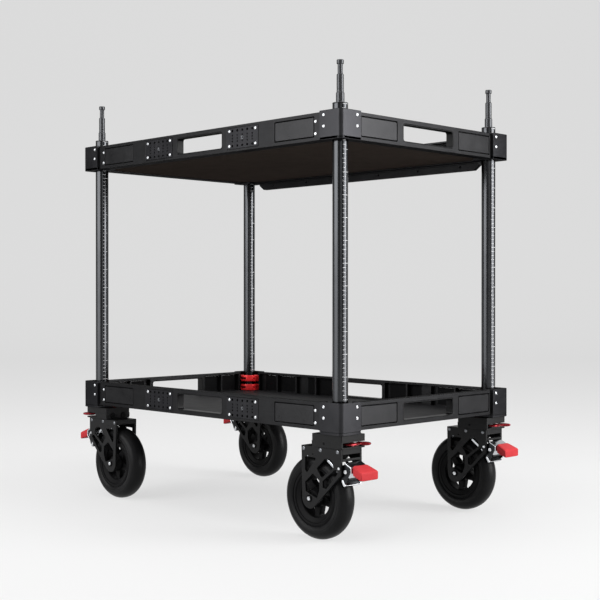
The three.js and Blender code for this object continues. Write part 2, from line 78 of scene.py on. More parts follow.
def linear(code):
    """The linear colour of an sRGB hex code: each channel through the sRGB curve."""
    channels = np.array([int(code[i:i + 2], 16) for i in (1, 3, 5)]) / 255
    return tuple(np.where(channels <= 0.04045, channels / 12.92, ((channels + 0.055) / 1.055) ** 2.4))


# Sizes and colours that a user would change

def length_setting(name, description, default, low, high):
    """A length in metres."""
    return FloatProperty(name=name, description=description, default=default, min=low, max=high,
                         unit="LENGTH", subtype="DISTANCE")


def colour_setting(name, description, code):
    """A colour, from an sRGB hex code."""
    return FloatVectorProperty(name=name, description=description, default=linear(code), min=0, max=1,
                               subtype="COLOR")


class CartSizes(bpy.types.PropertyGroup):
    """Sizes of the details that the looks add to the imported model"""
    edge_round: length_setting("Edge round", "Radius of the edges on machined pieces", 0.0008, 0, 0.002)
    scale_step: length_setting("Scale step", "Distance between two lines on the posts", 0.01, 0.005, 0.05)
    screw_radius: length_setting("Screw head", "Radius of the screw heads on the decks", 0.0036, 0.001, 0.005)
    tyre_sides: IntProperty(name="Tyre sides", description="Number of steps round each tyre",
                            default=96, min=24, max=192)
    camera_lens: FloatProperty(name="Lens", description="Focal length of the camera on a 36 mm wide sensor",
                               default=70.0, min=20, max=200, unit="CAMERA")


class CartColours(bpy.types.PropertyGroup):
    """Colours of the cart's finishes"""
    extrusion: colour_setting("Rails", "Black anodised extrusion", "#2d2d2e")
    clamp: colour_setting("Clamps", "Red anodised clamps", "#ee2c30")
    pedal: colour_setting("Pedals", "Red moulded foot pads", "#be3a3e")
    board: colour_setting("Shelves", "Dark film on the shelf boards", "#4a423d")


# Surfaces

class Surface:
    """Points in millimetres, with the quads and triangles between them."""

    def __init__(self, points=(), quads=(), triangles=()):
        self.points = np.asarray(points, float).reshape(-1, 3)
        self.quads = np.asarray(quads, int).reshape(-1, 4)
        self.triangles = np.asarray(triangles, int).reshape(-1, 3)

    def __add__(self, other):
        shift = len(self.points)
        return Surface(np.vstack([self.points, other.points]), np.vstack([self.quads, other.quads + shift]),
                       np.vstack([self.triangles, other.triangles + shift]))

    def moved(self, x=0.0, y=0.0, z=0.0):
        """Shifted by a step along each axis."""
        return Surface(self.points + (x, y, z), self.quads, self.triangles)

    def spun(self, degrees, axis="Z"):
        """Turned by degrees round an axis, by the rotation matrix of that axis."""
        c, s = math.cos(math.radians(degrees)), math.sin(math.radians(degrees))
        matrix = {"X": [[1, 0, 0], [0, c, -s], [0, s, c]], "Y": [[c, 0, s], [0, 1, 0], [-s, 0, c]],
                  "Z": [[c, -s, 0], [s, c, 0], [0, 0, 1]]}[axis]
        return Surface(self.points @ np.array(matrix).T, self.quads, self.triangles)

    def mirrored(self, axis):
        """The mirror image across a plane through the origin. The mesh's normals are set right later."""
        signs = np.ones(3)
        signs["XYZ".index(axis)] = -1
        return Surface(self.points * signs, self.quads, self.triangles)

    def stood(self):
        """An outline in X and Y, raised along Z, becomes one in X and Z, raised along Y."""
        return Surface(self.points[:, [0, 2, 1]], self.quads, self.triangles)

    def sideways(self):
        """An outline in X and Y, raised along Z, becomes one in Y and Z, raised along X."""
        return Surface(self.points[:, [2, 0, 1]], self.quads, self.triangles)


def joined(surfaces):
    """All the surfaces as one, each still closed by itself."""
    total = Surface()
    for surface in surfaces:
        total = total + surface
    return total


def numbered(rows, around):
    """A grid that numbers the points of a surface, row by row."""
    return np.arange(rows * around).reshape(rows, around)


def skin(grid):
    """The quads between the rows of a grid of point numbers, each row closed on itself."""
    ahead = np.roll(grid, -1, 1)
    return np.stack([grid[:-1], ahead[:-1], ahead[1:], grid[1:]], -1).reshape(-1, 4)


def poled(points, poles):
    """Rows of points with a skin over them, closed at each end by a fan of triangles to a pole."""
    grid = numbered(*points.shape[:2])
    first, last = grid[0], grid[-1]
    fans = [np.stack([np.full(len(first), grid.size), np.roll(first, -1), first], -1),
            np.stack([np.full(len(last), grid.size + 1), last, np.roll(last, -1)], -1)]
    return Surface(np.vstack([points.reshape(-1, 3), poles]), skin(grid), np.vstack(fans))


def arc(radius, degrees):
    """Points at a radius and at angles round the origin."""
    angle = np.radians(degrees)
    return np.stack([radius * np.cos(angle), radius * np.sin(angle)], -1)


def filleted(corners, radii, steps=5):
    """A closed outline whose corners are rounded: each arc is tangent to the two sides beside it, and a
    radius of zero keeps the corner sharp."""
    corners = np.asarray(corners, float)
    radii = np.broadcast_to(np.asarray(radii, float), len(corners))
    back, ahead = np.roll(corners, 1, 0) - corners, np.roll(corners, -1, 0) - corners
    back_length, ahead_length = np.linalg.norm(back, axis=1), np.linalg.norm(ahead, axis=1)
    back, ahead = back / back_length[:, None], ahead / ahead_length[:, None]
    half = np.arccos(np.clip((back * ahead).sum(1), -1, 1)) / 2
    reach = np.minimum(radii / np.tan(half), 0.49 * np.minimum(back_length, ahead_length))
    radius = reach * np.tan(half)
    middle = back + ahead
    middle = middle / np.maximum(np.linalg.norm(middle, axis=1), 1e-9)[:, None]
    centre = corners + middle * (radius / np.sin(half))[:, None]
    first, last = corners + back * reach[:, None] - centre, corners + ahead * reach[:, None] - centre
    begin = np.arctan2(first[:, 1], first[:, 0])
    sweep = np.arctan2(last[:, 1], last[:, 0]) - begin
    sweep = (sweep + math.pi) % (2 * math.pi) - math.pi
    angle = begin[:, None] + sweep[:, None] * np.linspace(0, 1, steps + 1)
    bends = centre[:, None] + radius[:, None, None] * np.stack([np.cos(angle), np.sin(angle)], -1)
    keep = np.ones(angle.shape, bool)
    keep[radius < 1e-6, 1:] = False
    return bends[keep]


def rectangle(low_x, low_y, high_x, high_y, radius=0.0, steps=5):
    """A rectangle with rounded corners."""
    return filleted([(low_x, low_y), (high_x, low_y), (high_x, high_y), (low_x, high_y)], radius, steps)


def slab(length, height, x=0.0, y=0.0, radius=0.0, inset=0.0):
    """A rectangle about a middle, drawn in by an inset on all sides."""
    a, b = length / 2 - inset, height / 2 - inset
    return rectangle(x - a, y - b, x + a, y + b, radius)


def circle(radius, x=0.0, y=0.0, sides=48):
    """Points at equal angles on a circle."""
    return arc(radius, 360 * np.arange(sides) / sides) + (x, y)


def mitres(outline):
    """At each corner, the step that moves both of its sides one unit to the left."""
    side = np.roll(outline, -1, 0) - outline
    side = side / np.maximum(np.linalg.norm(side, axis=1), 1e-9)[:, None]
    normal = np.stack([-side[:, 1], side[:, 0]], -1)
    before = np.roll(normal, 1, 0)
    return (normal + before) / np.maximum(1 + (normal * before).sum(1), 0.3)[:, None]


def area_of(outline):
    """Signed area by the shoelace sum."""
    ahead = np.roll(outline, -1, 0)
    return (outline[:, 0] * ahead[:, 1] - outline[:, 1] * ahead[:, 0]).sum() / 2


def plate(outline, low, high, holes=(), edge=0.8, steps=2, low_edge=None):
    """An outline with holes, raised along Z. The wall is carried round each outline and draws in by a
    quarter circle of radius edge at its top and bottom, and flat faces close the ends."""
    low_edge = edge if low_edge is None else low_edge
    turn = np.linspace(0, math.pi / 2, steps + 1)
    inset, height = [], []
    for radius, base, sign in ((low_edge, low, 1), (edge, high, -1)):
        bend = (turn if radius else turn[-1:])[::sign]
        inset.append(radius * (1 - np.sin(bend)))
        height.append(base + sign * radius * (1 - np.cos(bend)))
    inset, height = np.concatenate(inset), np.concatenate(height)
    points, quads, bottom, top, ends = [], [], [], [], []
    count = 0
    for number, loop in enumerate([outline, *holes]):
        loop = np.asarray(loop, float)
        if (area_of(loop) > 0) != (number == 0):
            loop = loop[::-1]
        rings = loop[None] + inset[:, None, None] * mitres(loop)[None]
        walls = np.concatenate([rings, np.broadcast_to(height[:, None, None], (*rings.shape[:2], 1))], -1)
        index = count + numbered(*walls.shape[:2])
        quads.append(skin(index))
        points.append(walls.reshape(-1, 3))
        ends.append([Vector((x, y, 0)) for x, y in rings[0]])
        bottom.append(index[0])
        top.append(index[-1])
        count += index.size
    triangles = np.array(tessellate_polygon(ends))
    bottom, top = np.concatenate(bottom), np.concatenate(top)
    return Surface(np.concatenate(points), np.concatenate(quads),
                   np.concatenate([bottom[triangles][:, ::-1], top[triangles]]))


def turned(profile, sides=32, closed=False):
    """A profile of (radius, height) points turned round Z. It is closed on itself, or starts and ends on
    the axis in a pole."""
    profile = np.asarray(profile, float)
    rings = profile if closed else profile[1:-1]
    flat = rings[:, None, :1] * circle(1.0, sides=sides)
    points = np.concatenate([flat, np.broadcast_to(rings[:, None, 1:], (len(rings), sides, 1))], -1)
    if closed:
        grid = numbered(len(rings), sides)
        return Surface(points, skin(np.vstack([grid, grid[:1]])))
    return poled(points, [(0, 0, profile[0, 1]), (0, 0, profile[-1, 1])])


def ribbon(line, thickness, radius, steps=5):
    """The outline of a bent strip: an open line with rounded bends, and the same line half a thickness to
    each side of it."""
    line = np.asarray(line, float)
    bends = np.concatenate([[0], np.broadcast_to(radius, len(line) - 2), [0]])
    middle = filleted(line, bends, steps)
    side = np.diff(middle, axis=0)
    side = side / np.linalg.norm(side, axis=1)[:, None]
    normal = np.stack([-side[:, 1], side[:, 0]], -1)
    before, after = np.vstack([normal[:1], normal]), np.vstack([normal, normal[-1:]])
    step = (before + after) / (1 + (before * after).sum(1))[:, None] * thickness / 2
    return np.vstack([middle - step, (middle + step)[::-1]])


def screw(radius, height, sides=16):
    """A pan head with a socket, standing on Z zero: a low dome with a recess. Its profile is written as
    shares of the radius and the height."""
    shares = np.array([(0, 0.25), (0.46, 0.25), (0.46, 0.92), (0.529, 1), (0.62, 1), (0.9, 0.62), (1, 0.2),
                       (1, -1), (0, -1)])
    return turned(shares * (radius, height), sides)


# Finishes

def node(tree, kind, settings=None, links=None):
    """Adds a node with its settings and links. A key is the name of an attribute, or the name or number
    of an input."""
    made = tree.nodes.new(kind)
    for key, value in (settings or {}).items():
        if isinstance(key, int) or key in made.inputs:
            made.inputs[key].default_value = value
        else:
            setattr(made, key, value)
    for key, (source, output) in (links or {}).items():
        tree.links.new(source.outputs[output], made.inputs[key])
    return made


CLOUD_SIZE, FINE_SHARE, BUMP_STRENGTH = 38.0, 0.55, 0.6
ALL_WAYS, ALONG_X, ALONG_Y = (1, 1, 1), (0.03, 1, 1), (1, 0.03, 1)
MATT = {"specular": 0.0, "rim_shine": 0.0}


def finish(name, colour, metallic, roughness, grain, streak=ALL_WAYS, spread=0.15, rough_spread=0.08,
           relief=0.02, specular=0.5, ior=1.5, rim_shine=1.0):
    """A finish whose colour and roughness vary with a cloudy pattern and whose relief is a fine one. grain
    is the fine pattern's size in millimetres, streak stretches it along an axis, and relief is its height
    in millimetres. rim_shine is how far the finish brightens at a glancing angle."""
    material = bpy.data.materials.new(name)
    material.use_nodes = True
    tree = material.node_tree
    shader = tree.nodes["Principled BSDF"]
    shader.inputs["Metallic"].default_value = metallic
    shader.inputs["IOR"].default_value = ior
    shader.inputs["Specular IOR Level"].default_value = specular
    shader.inputs["Specular Tint"].default_value = (rim_shine, rim_shine, rim_shine, 1)
    place = node(tree, "ShaderNodeTexCoord")
    stretched = node(tree, "ShaderNodeMapping", {"Scale": streak}, {"Vector": (place, "Object")})
    cloud = node(tree, "ShaderNodeTexNoise",
                 {"Scale": 1 / (CLOUD_SIZE * MM), "Detail": 4.0, "Roughness": 0.6},
                 {"Vector": (place, "Object")})
    fine = node(tree, "ShaderNodeTexNoise", {"Scale": 1 / (grain * MM), "Detail": 3.0, "Roughness": 0.7},
                {"Vector": (stretched, "Vector")})
    both = node(tree, "ShaderNodeMix", {"data_type": "FLOAT", 0: FINE_SHARE}, {2: (cloud, 0), 3: (fine, 0)})
    ramp = node(tree, "ShaderNodeValToRGB", links={"Fac": (both, 0)})
    dark, light = ramp.color_ramp.elements
    dark.position, light.position = 0.35, 0.65
    dark.color = (*(c * (1 - spread) for c in colour), 1)
    light.color = (*(min(1, c * (1 + spread) + 0.002) for c in colour), 1)
    tree.links.new(ramp.outputs["Color"], shader.inputs["Base Color"])
    rough = node(tree, "ShaderNodeMapRange", {1: 0.3, 2: 0.7, 3: max(0.05, roughness - rough_spread),
                                              4: min(1, roughness + rough_spread)}, {0: (both, 0)})
    tree.links.new(rough.outputs[0], shader.inputs["Roughness"])
    bump = node(tree, "ShaderNodeBump", {"Strength": BUMP_STRENGTH, "Distance": relief * MM},
                {"Height": (fine, 0)})
    tree.links.new(bump.outputs["Normal"], shader.inputs["Normal"])
    return material


def finishes(colours):
    """All of the cart's finishes, by the name of what each one is."""
    black = tuple(colours.extrusion)
    return {
        # Extruded aluminium, matt black anodised: die lines run along the rail and catch the light
        "extrusion_x": finish("anodised extrusion along X", black, 0.68, 0.36, 1.2, ALONG_X, 0.12, 0.05, 0.01,
                              **MATT),
        "extrusion_y": finish("anodised extrusion along Y", black, 0.68, 0.36, 1.2, ALONG_Y, 0.12, 0.05, 0.01,
                              **MATT),
        # Milled aluminium corner, bead blasted before anodising: an even, slightly sparkling black
        "blasted": finish("blasted anodised aluminium", linear("#313133"), 0.7, 0.33, 0.8, relief=0.015,
                          **MATT),
        # Cover panels, the same anodising on rolled sheet: a little lighter
        "sheet": finish("anodised sheet", linear("#333334"), 0.75, 0.33, 1.0, (0.2, 1, 1), relief=0.008,
                        **MATT),
        # Drawn tube, hard anodised and smooth: tall clear reflections
        "tube": finish("hard anodised tube", linear("#3f4042"), 1.0, 0.17, 1.5, (1, 1, 0.04), 0.08, 0.03,
                       relief=0.004),
        # Laser marked lines: bare oxide, light grey and matt
        "mark": finish("laser marked scale", linear("#b9babb"), 0.1, 0.6, 0.5, relief=0.004),
        # Turned spigot, black anodised: rings from the turning tool
        "turned": finish("turned anodised spigot", linear("#3d3e40"), 0.8, 0.28, 0.7, (0.1, 0.1, 1),
                         relief=0.012),
        # Film-faced birch board: dark brown phenolic film, dull, with the wood faintly showing through
        "board": finish("film faced board", tuple(colours.board), 0.0, 0.7, 3.0, (0.08, 1, 1), 0.12,
                        specular=0.0),
        # The same board's upper face: a harder black laminate, dull as well
        "laminate": finish("black laminate", linear("#2a2a2b"), 0.0, 0.55, 2.0, (0.2, 1, 1), relief=0.01,
                           specular=0.06),
        # Red anodised clamps: a bright red with a little metal in it
        "red_anodised": finish("red anodised aluminium", tuple(colours.clamp), 0.3, 0.34, 0.8, relief=0.01),
        # Dark red anodised lever, polished
        "lever": finish("dark red anodised lever", linear("#80111b"), 0.7, 0.2, 0.8, relief=0.006),
        # Cast and powder-coated caster parts: fine orange peel
        "powder": finish("black powder coat", linear("#121213"), 0.0, 0.42, 1.6, spread=0.1, relief=0.05,
                         specular=0.15),
        # Die-cast wheel, satin black
        "rim": finish("satin black die casting", linear("#0e0e0f"), 0.0, 0.45, 1.4, relief=0.04,
                      specular=0.06),
        # Moulded rubber tyre: dull, dusty black
        "rubber": finish("moulded tyre rubber", linear("#131314"), 0.0, 0.38, 1.8, spread=0.25, relief=0.05,
                         specular=0.1),
        # Injection-moulded nylon foot pad: bright red with a soft gloss and a leathery grain for grip
        "pedal": finish("moulded red nylon", tuple(colours.pedal), 0.0, 0.4, 2.2, spread=0.08, relief=0.16,
                        specular=0.04, ior=1.53),
        # Stamped and chromed brake parts: mirror bright with slight waves
        "chrome": finish("chromed steel", linear("#c9ccd0"), 1.0, 0.16, 6.0, spread=0.04, rough_spread=0.05),
        # Zinc plated screws
        "zinc": finish("bright zinc screws", linear("#d4d6d9"), 1.0, 0.28, 0.6, spread=0.08, relief=0.01),
        # Steel under thin oil: grey and half bright
        "oiled": finish("oiled steel", linear("#7c7e82"), 1.0, 0.3, 1.0),
        # Stamped cheeks, black oxide over a ground face: they catch the lamps along their edges
        "oxide": finish("black oxide steel", linear("#2c2d2f"), 1.0, 0.3, 0.8),
        # Blackened steel, and painted shade: near black with almost no shine, it also darkens deep recesses,
        # the gaps round the cover panels and the drilled holes, where shade falls
        "near_black_and_shade": finish("blackened steel and painted shade", linear("#0a0a0b"), 0.0, 0.55, 1.0, specular=0.04),
    }


EDGE_ANGLE = 20.0
EDGE_ANGLES = {"pedal": 50.0, "rubber": 35.0, "mark": 30.0}


def make_piece(name, surface, material, body, slot, *nodes):
    """Puts a surface into a mesh in metres, sets its normals outwards and hands it to the frame."""
    mesh = bpy.data.meshes.new(name)
    mesh.from_pydata(surface.points * MM, [], surface.quads.tolist() + surface.triangles.tolist())
    shell = bmesh.new()
    shell.from_mesh(mesh)
    bmesh.ops.recalc_face_normals(shell, faces=shell.faces)
    shell.to_mesh(mesh)
    shell.free()
    mesh.shade_smooth()
    mesh.set_sharp_from_angle(angle=math.radians(EDGE_ANGLES.get(material, EDGE_ANGLE)))
    mesh.materials.append(materials()[material])
    piece = bpy.data.objects.new(name, mesh)
    bpy.context.scene.collection.objects.link(piece)
    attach(piece, body)
    if nodes:
        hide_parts(*nodes)


def materials():
    """The finishes, made once."""
    if not materials.made:
        materials.made.update(finishes(bpy.context.scene.cart_colours))
    return materials.made


materials.made = {}


def at_corner(surface, place, base):
    """From the corner bracket's frame, its outer edge at the origin and its legs along +X and +Y."""
    x, y, turn = PLACES[place]
    return surface.spun(turn).moved(x * DECK_LENGTH / 2, y * DECK_WIDTH / 2, base)


def at_side(surface, side, base):
    """From a rail's frame, its outer face at Y zero and its inner side towards +Y."""
    x, y, turn = SIDES[side]
    reach_x, reach_y = DECK_LENGTH / 2 - RAIL_INSET, DECK_WIDTH / 2 - RAIL_INSET
    return surface.spun(turn).moved(x * reach_x, y * reach_y, base)


def on_casters(*pieces):
    """Makes pieces for every caster, from the caster's frame. Each is its name, surface, finish, body and
    slot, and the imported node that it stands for, if there is one. The caster's place goes before the
    names. The left casters are turned half a turn, so their pedals point to -X."""
    for place, (x, y, _) in PLACES.items():
        for name, surface, material, body, slot, *nodes in pieces:
            made = surface.spun(0 if x > 0 else 180).moved(x * SWIVEL_X, y * SWIVEL_Y)
            make_piece(f"{place}_{name}", made, material, body if body == "base" else f"{place}_{body}", slot,
                       *(f"{place}_{packed}" for packed in nodes))


def mirror_pair(surface):
    """A surface and its mirror image on the other side of the wheel."""
    return surface + surface.mirrored("Y")


# Rails: the panel is its middle and length, and the plate its middle

LONG_RAIL = {"half": 421.7, "window": 86.8, "pockets": 4, "panel": (334.45, 128.1), "plate": 160.0}
SHORT_RAIL = {"half": 243.7, "window": 92.8, "pockets": 2, "panel": (175.2, 124.2), "plate": None}
WINDOW_HEIGHT, WINDOW_RADIUS, WINDOW_FRAME = 42.0, 7.0, 8.0
LINING_WALL, LINING_RECESS, LINING_PROUD, LINING_EDGE_SHARE = 1.6, 0.4, 0.5, 0.6
POCKET_MARGIN, POCKET_RIB, POCKET_RADIUS = 5.0, 6.0, 2.5
LEDGE_LAP, LEDGE_REACH, LEDGE_THICKNESS = 1.0, 12.0, 2.5
PANEL_HEIGHT, PANEL_GAP, PANEL_RECESS, PANEL_BACK, PANEL_EDGE = 46.0, 2.1, 0.3, 2.0, 0.6
CUT_RADIUS, BACK_RADIUS = 1.5, 1.2
DRILLED_LENGTH, DRILLED_HEIGHT, DRILLED_RISE, DRILLED_DEPTH = 112.0, 50.0, 0.5, 4.0
DRILLED_COLUMNS, WIDE_ROWS, NARROW_ROWS = (-35.0, -17.5, 0.0, 17.5, 35.0), (-18.0, 18.0), (-7.2, 0.0, 7.2)
WIDE_HOLE, NARROW_HOLE, MIDDLE_HOLE = 2.9, 1.9, 4.4
BUSH_PROFILE = [(4.2, 3.8), (4.2, -0.3), (3.8, -0.3), (2.0, 1.6), (2.0, 3.8)]
DRILLED_SCREW_X, DRILLED_SCREW_Z = 46.0, 17.8
END_SCREW_X, END_SCREW_RISES = 402.6, (-15.4, 12.0)


def rail_surface(rail, edge):
    """Web and inner frame, each an outline carried along the rail's depth, and the ledge under the shelf."""
    half, start = rail["half"], rail["window"] + WINDOW_FRAME
    outline = rectangle(-half, RAIL_LOW, half, RAIL_TOP)
    opening = slab(2 * rail["window"], WINDOW_HEIGHT, 0, RAIL_MIDDLE, WINDOW_RADIUS)
    cuts, pockets = [opening], [opening]
    pitch = (half - start) / rail["pockets"]
    pocket = (pitch - POCKET_RIB, RAIL_TOP - RAIL_LOW - 2 * POCKET_MARGIN)
    middle, length = rail["panel"]
    for side in (-1, 1):
        cuts.append(slab(length, PANEL_HEIGHT, side * middle, RAIL_MIDDLE, CUT_RADIUS))
        if rail["plate"]:
            cuts.append(slab(DRILLED_LENGTH, DRILLED_HEIGHT, side * rail["plate"], RAIL_MIDDLE, CUT_RADIUS))
        for number in range(rail["pockets"]):
            x = start + number * pitch + pocket[0] / 2
            pockets.append(slab(*pocket, side * x, RAIL_MIDDLE, POCKET_RADIUS))
    web = plate(outline, 0, RAIL_WEB, cuts, edge=0, low_edge=edge).stood()
    ribs = plate(outline, RAIL_WEB, RAIL_DEPTH, pockets, edge=edge, low_edge=0).stood()
    ledge = plate(rectangle(-half, RAIL_DEPTH - LEDGE_LAP, half, RAIL_DEPTH + LEDGE_REACH), RAIL_LOW,
                  RAIL_LOW + LEDGE_THICKNESS, edge=0.4)
    return web + ribs + ledge


def window_lining(rail, edge):
    """The rounded liner inside a handle window, a loop carried through the rail's depth."""
    outer, inner = (slab(2 * rail["window"], WINDOW_HEIGHT, 0, RAIL_MIDDLE, WINDOW_RADIUS - rounder, inset)
                    for rounder, inset in ((GAP, GAP), (LINING_WALL, LINING_WALL + GAP)))
    return plate(outer, LINING_RECESS, RAIL_DEPTH + LINING_PROUD, [inner],
                 edge=edge * LINING_EDGE_SHARE).stood()


def drilled_plate(edge):
    """A plate with five columns of holes round a larger one, wide holes in the outer rows and narrow ones
    between them."""
    outline = slab(DRILLED_LENGTH, DRILLED_HEIGHT, radius=CUT_RADIUS, inset=GAP)
    holes = [circle(WIDE_HOLE, x, z, 12) for x in DRILLED_COLUMNS for z in WIDE_ROWS]
    holes += [circle(NARROW_HOLE, x, z, 10) for x in DRILLED_COLUMNS for z in NARROW_ROWS if x or z]
    holes.append(circle(MIDDLE_HOLE, sides=24))
    return plate(outline, -DRILLED_RISE, DRILLED_DEPTH, holes, edge=0, low_edge=edge * 0.5, steps=1).stood()


def shade_back_plate(length, height, front, radius):
    """A near-black plate that closes an opening in the rail's web from behind. It is painted shade: it makes
    the gaps round a cover panel and the holes of a drilled plate look dark.
    """
    return plate(slab(length, height, radius=radius, inset=GAP), front, RAIL_WEB - GAP, edge=0).stood()


def on_both_sides(surface, x):
    """A surface at the rail's middle height, on both sides of its middle at the same reach."""
    return surface.moved(-x, 0, RAIL_MIDDLE) + surface.moved(x, 0, RAIL_MIDDLE)


def rail_pieces(rail, edge, head):
    """The pieces of one rail, by name. Only a long rail has drilled plates and screws."""
    middle, length = rail["panel"]
    cover = plate(slab(length, PANEL_HEIGHT, radius=CUT_RADIUS, inset=PANEL_GAP), PANEL_RECESS,
                  RAIL_WEB - PANEL_BACK, edge=0, low_edge=PANEL_EDGE).stood()
    shade_backs = on_both_sides(shade_back_plate(length, PANEL_HEIGHT, RAIL_WEB - PANEL_BACK, BACK_RADIUS), middle)
    pieces = {"rail_body": rail_surface(rail, edge), "lining": window_lining(rail, edge),
              "panels": on_both_sides(cover, middle)}
    if not rail["plate"]:
        return pieces | {"shade_backs": shade_backs}
    # The back behind the drilled plate paints the shade seen through its holes
    back = shade_back_plate(DRILLED_LENGTH, DRILLED_HEIGHT, DRILLED_DEPTH, CUT_RADIUS)
    corners = joined([head.moved(x, -DRILLED_RISE, z) for x in (-DRILLED_SCREW_X, DRILLED_SCREW_X)
                      for z in (-DRILLED_SCREW_Z, DRILLED_SCREW_Z)])
    ends = joined([head.moved(0, 0, rise) for rise in END_SCREW_RISES])
    return pieces | {
        "drilled_plates": on_both_sides(drilled_plate(edge), rail["plate"]),
        "shade_backs": shade_backs + on_both_sides(back, rail["plate"]),
        "bushes": on_both_sides(turned(BUSH_PROFILE, 24, closed=True).stood(), rail["plate"]),
        "screws": on_both_sides(corners, rail["plate"]) + on_both_sides(ends, END_SCREW_X)}


class CART_OT_rails(bpy.types.Operator):
    """Rails with handle windows, cover panels, drilled plates and their screws"""
    bl_idname = "cart.rails"
    bl_label = "Rails"

    def execute(self, context):
        edge = context.scene.cart_sizes.edge_round / MM
        head = screw(context.scene.cart_sizes.screw_radius / MM, 1.0).stood().mirrored("Y")
        long, short = rail_pieces(LONG_RAIL, edge, head), rail_pieces(SHORT_RAIL, edge, head)
        looks = {"lining": "powder", "panels": "sheet", "drilled_plates": "blasted", "shade_backs": "near_black_and_shade",
                 "bushes": "oiled", "screws": "zinc"}
        for deck, (body, base) in DECKS.items():
            for side in SIDES:
                pieces, looks["rail_body"] = ((long, "extrusion_x") if side in ("front", "rear")
                                              else (short, "extrusion_y"))
                for part, shape in pieces.items():
                    nodes = [f"{deck}_{side}_rail"] if part == "rail_body" else []
                    make_piece(f"{deck}_{side}_{part}", at_side(shape, side, base), looks[part], body,
                               "bright_steel" if part == "screws" else "black_anodised", *nodes)
        return {"FINISHED"}


# Corner brackets

BRACKET_RETURN, RETURN_WALL = 24.0, 3.0
BRACKET_SCREW_REACH, BRACKET_SCREW_HEIGHTS = 52.5, (30.2, 54.9)
FLOOR_LIFT, PLATE_DROP = 0.05, 0.4


def bracket_outline():
    """An L with a rounded outer edge and a short return at the end of each leg."""
    leg, wall, side, returned = CORNER_LEG, CORNER_WALL, CORNER_LEG - RETURN_WALL, BRACKET_RETURN
    return filleted([(0, 0), (leg, 0), (leg, returned), (side, returned), (side, wall), (wall, wall),
                     (wall, side), (returned, side), (returned, leg), (0, leg)],
                    [CORNER_FILLET, 0, 0, 0, 2, 5, 2, 0, 0, 0], 7)


def square_floor():
    """The bracket's footprint with its rounded outer edge."""
    leg = CORNER_LEG
    return filleted([(0, 0), (leg, 0), (leg, leg), (0, leg)], [CORNER_FILLET, 1, 3, 1], 7)


class CART_OT_corners(bpy.types.Operator):
    """Corner brackets with their floors, base plates and screws"""
    bl_idname = "cart.corners"
    bl_label = "Corner brackets"

    def execute(self, context):
        edge = context.scene.cart_sizes.edge_round / MM
        front = screw(context.scene.cart_sizes.screw_radius / MM, 1.2).stood().mirrored("Y")
        flank, reach = front.spun(-90).mirrored("Y"), BRACKET_SCREW_REACH
        screws = joined([front.moved(reach, 0, z) + flank.moved(0, reach, z) for z in BRACKET_SCREW_HEIGHTS])
        hole = circle(POST_RADIUS + GAP, POST_INSET, POST_INSET)
        walls = plate(bracket_outline(), 0, CORNER_HEIGHT, edge=edge)
        floor = plate(square_floor(), FLOOR_LIFT, CORNER_FLOOR + FLOOR_LIFT, [hole], edge=0.3)
        base_plate = plate(square_floor(), -CORNER_FLOOR, -PLATE_DROP, edge=0.6)
        for place in PLACES:
            for deck, (body, base) in DECKS.items():
                bracket = walls + floor if deck == "upper" else walls
                make_piece(f"{place}_{deck}_bracket", at_corner(bracket, place, base), "blasted", body,
                           "black_anodised", f"{place}_{deck}_corner")
                make_piece(f"{place}_{deck}_bracket_screws", at_corner(screws, place, base), "zinc", body,
                           "bright_steel")
            make_piece(f"{place}_base_plate", at_corner(base_plate, place, DECKS["lower"][1]), "blasted",
                       "base", "black_anodised")
        return {"FINISHED"}


# Shelves

SHELF_LOW, SHELF_SEAM, SHELF_TOP, SHELF_EDGE = 4.3, 7.6, 8.3, 0.3
BAR_HALF, BAR_LOW, BAR_TOP, BAR_FRONT, BAR_BACK = 414.0, 870.7, 891.7, 282.0, 296.0
BAR_SLOPE, BAR_RISE, BAR_HOLE, BAR_HOLE_RISE, BAR_HOLE_INSET = 18.0, 13.0, 2.6, 11.0, 60.0
SEAM_INSET, SEAM_LOW, SEAM_TOP, SEAM_DEPTH = 10.0, 4.2, 3.0, 0.4


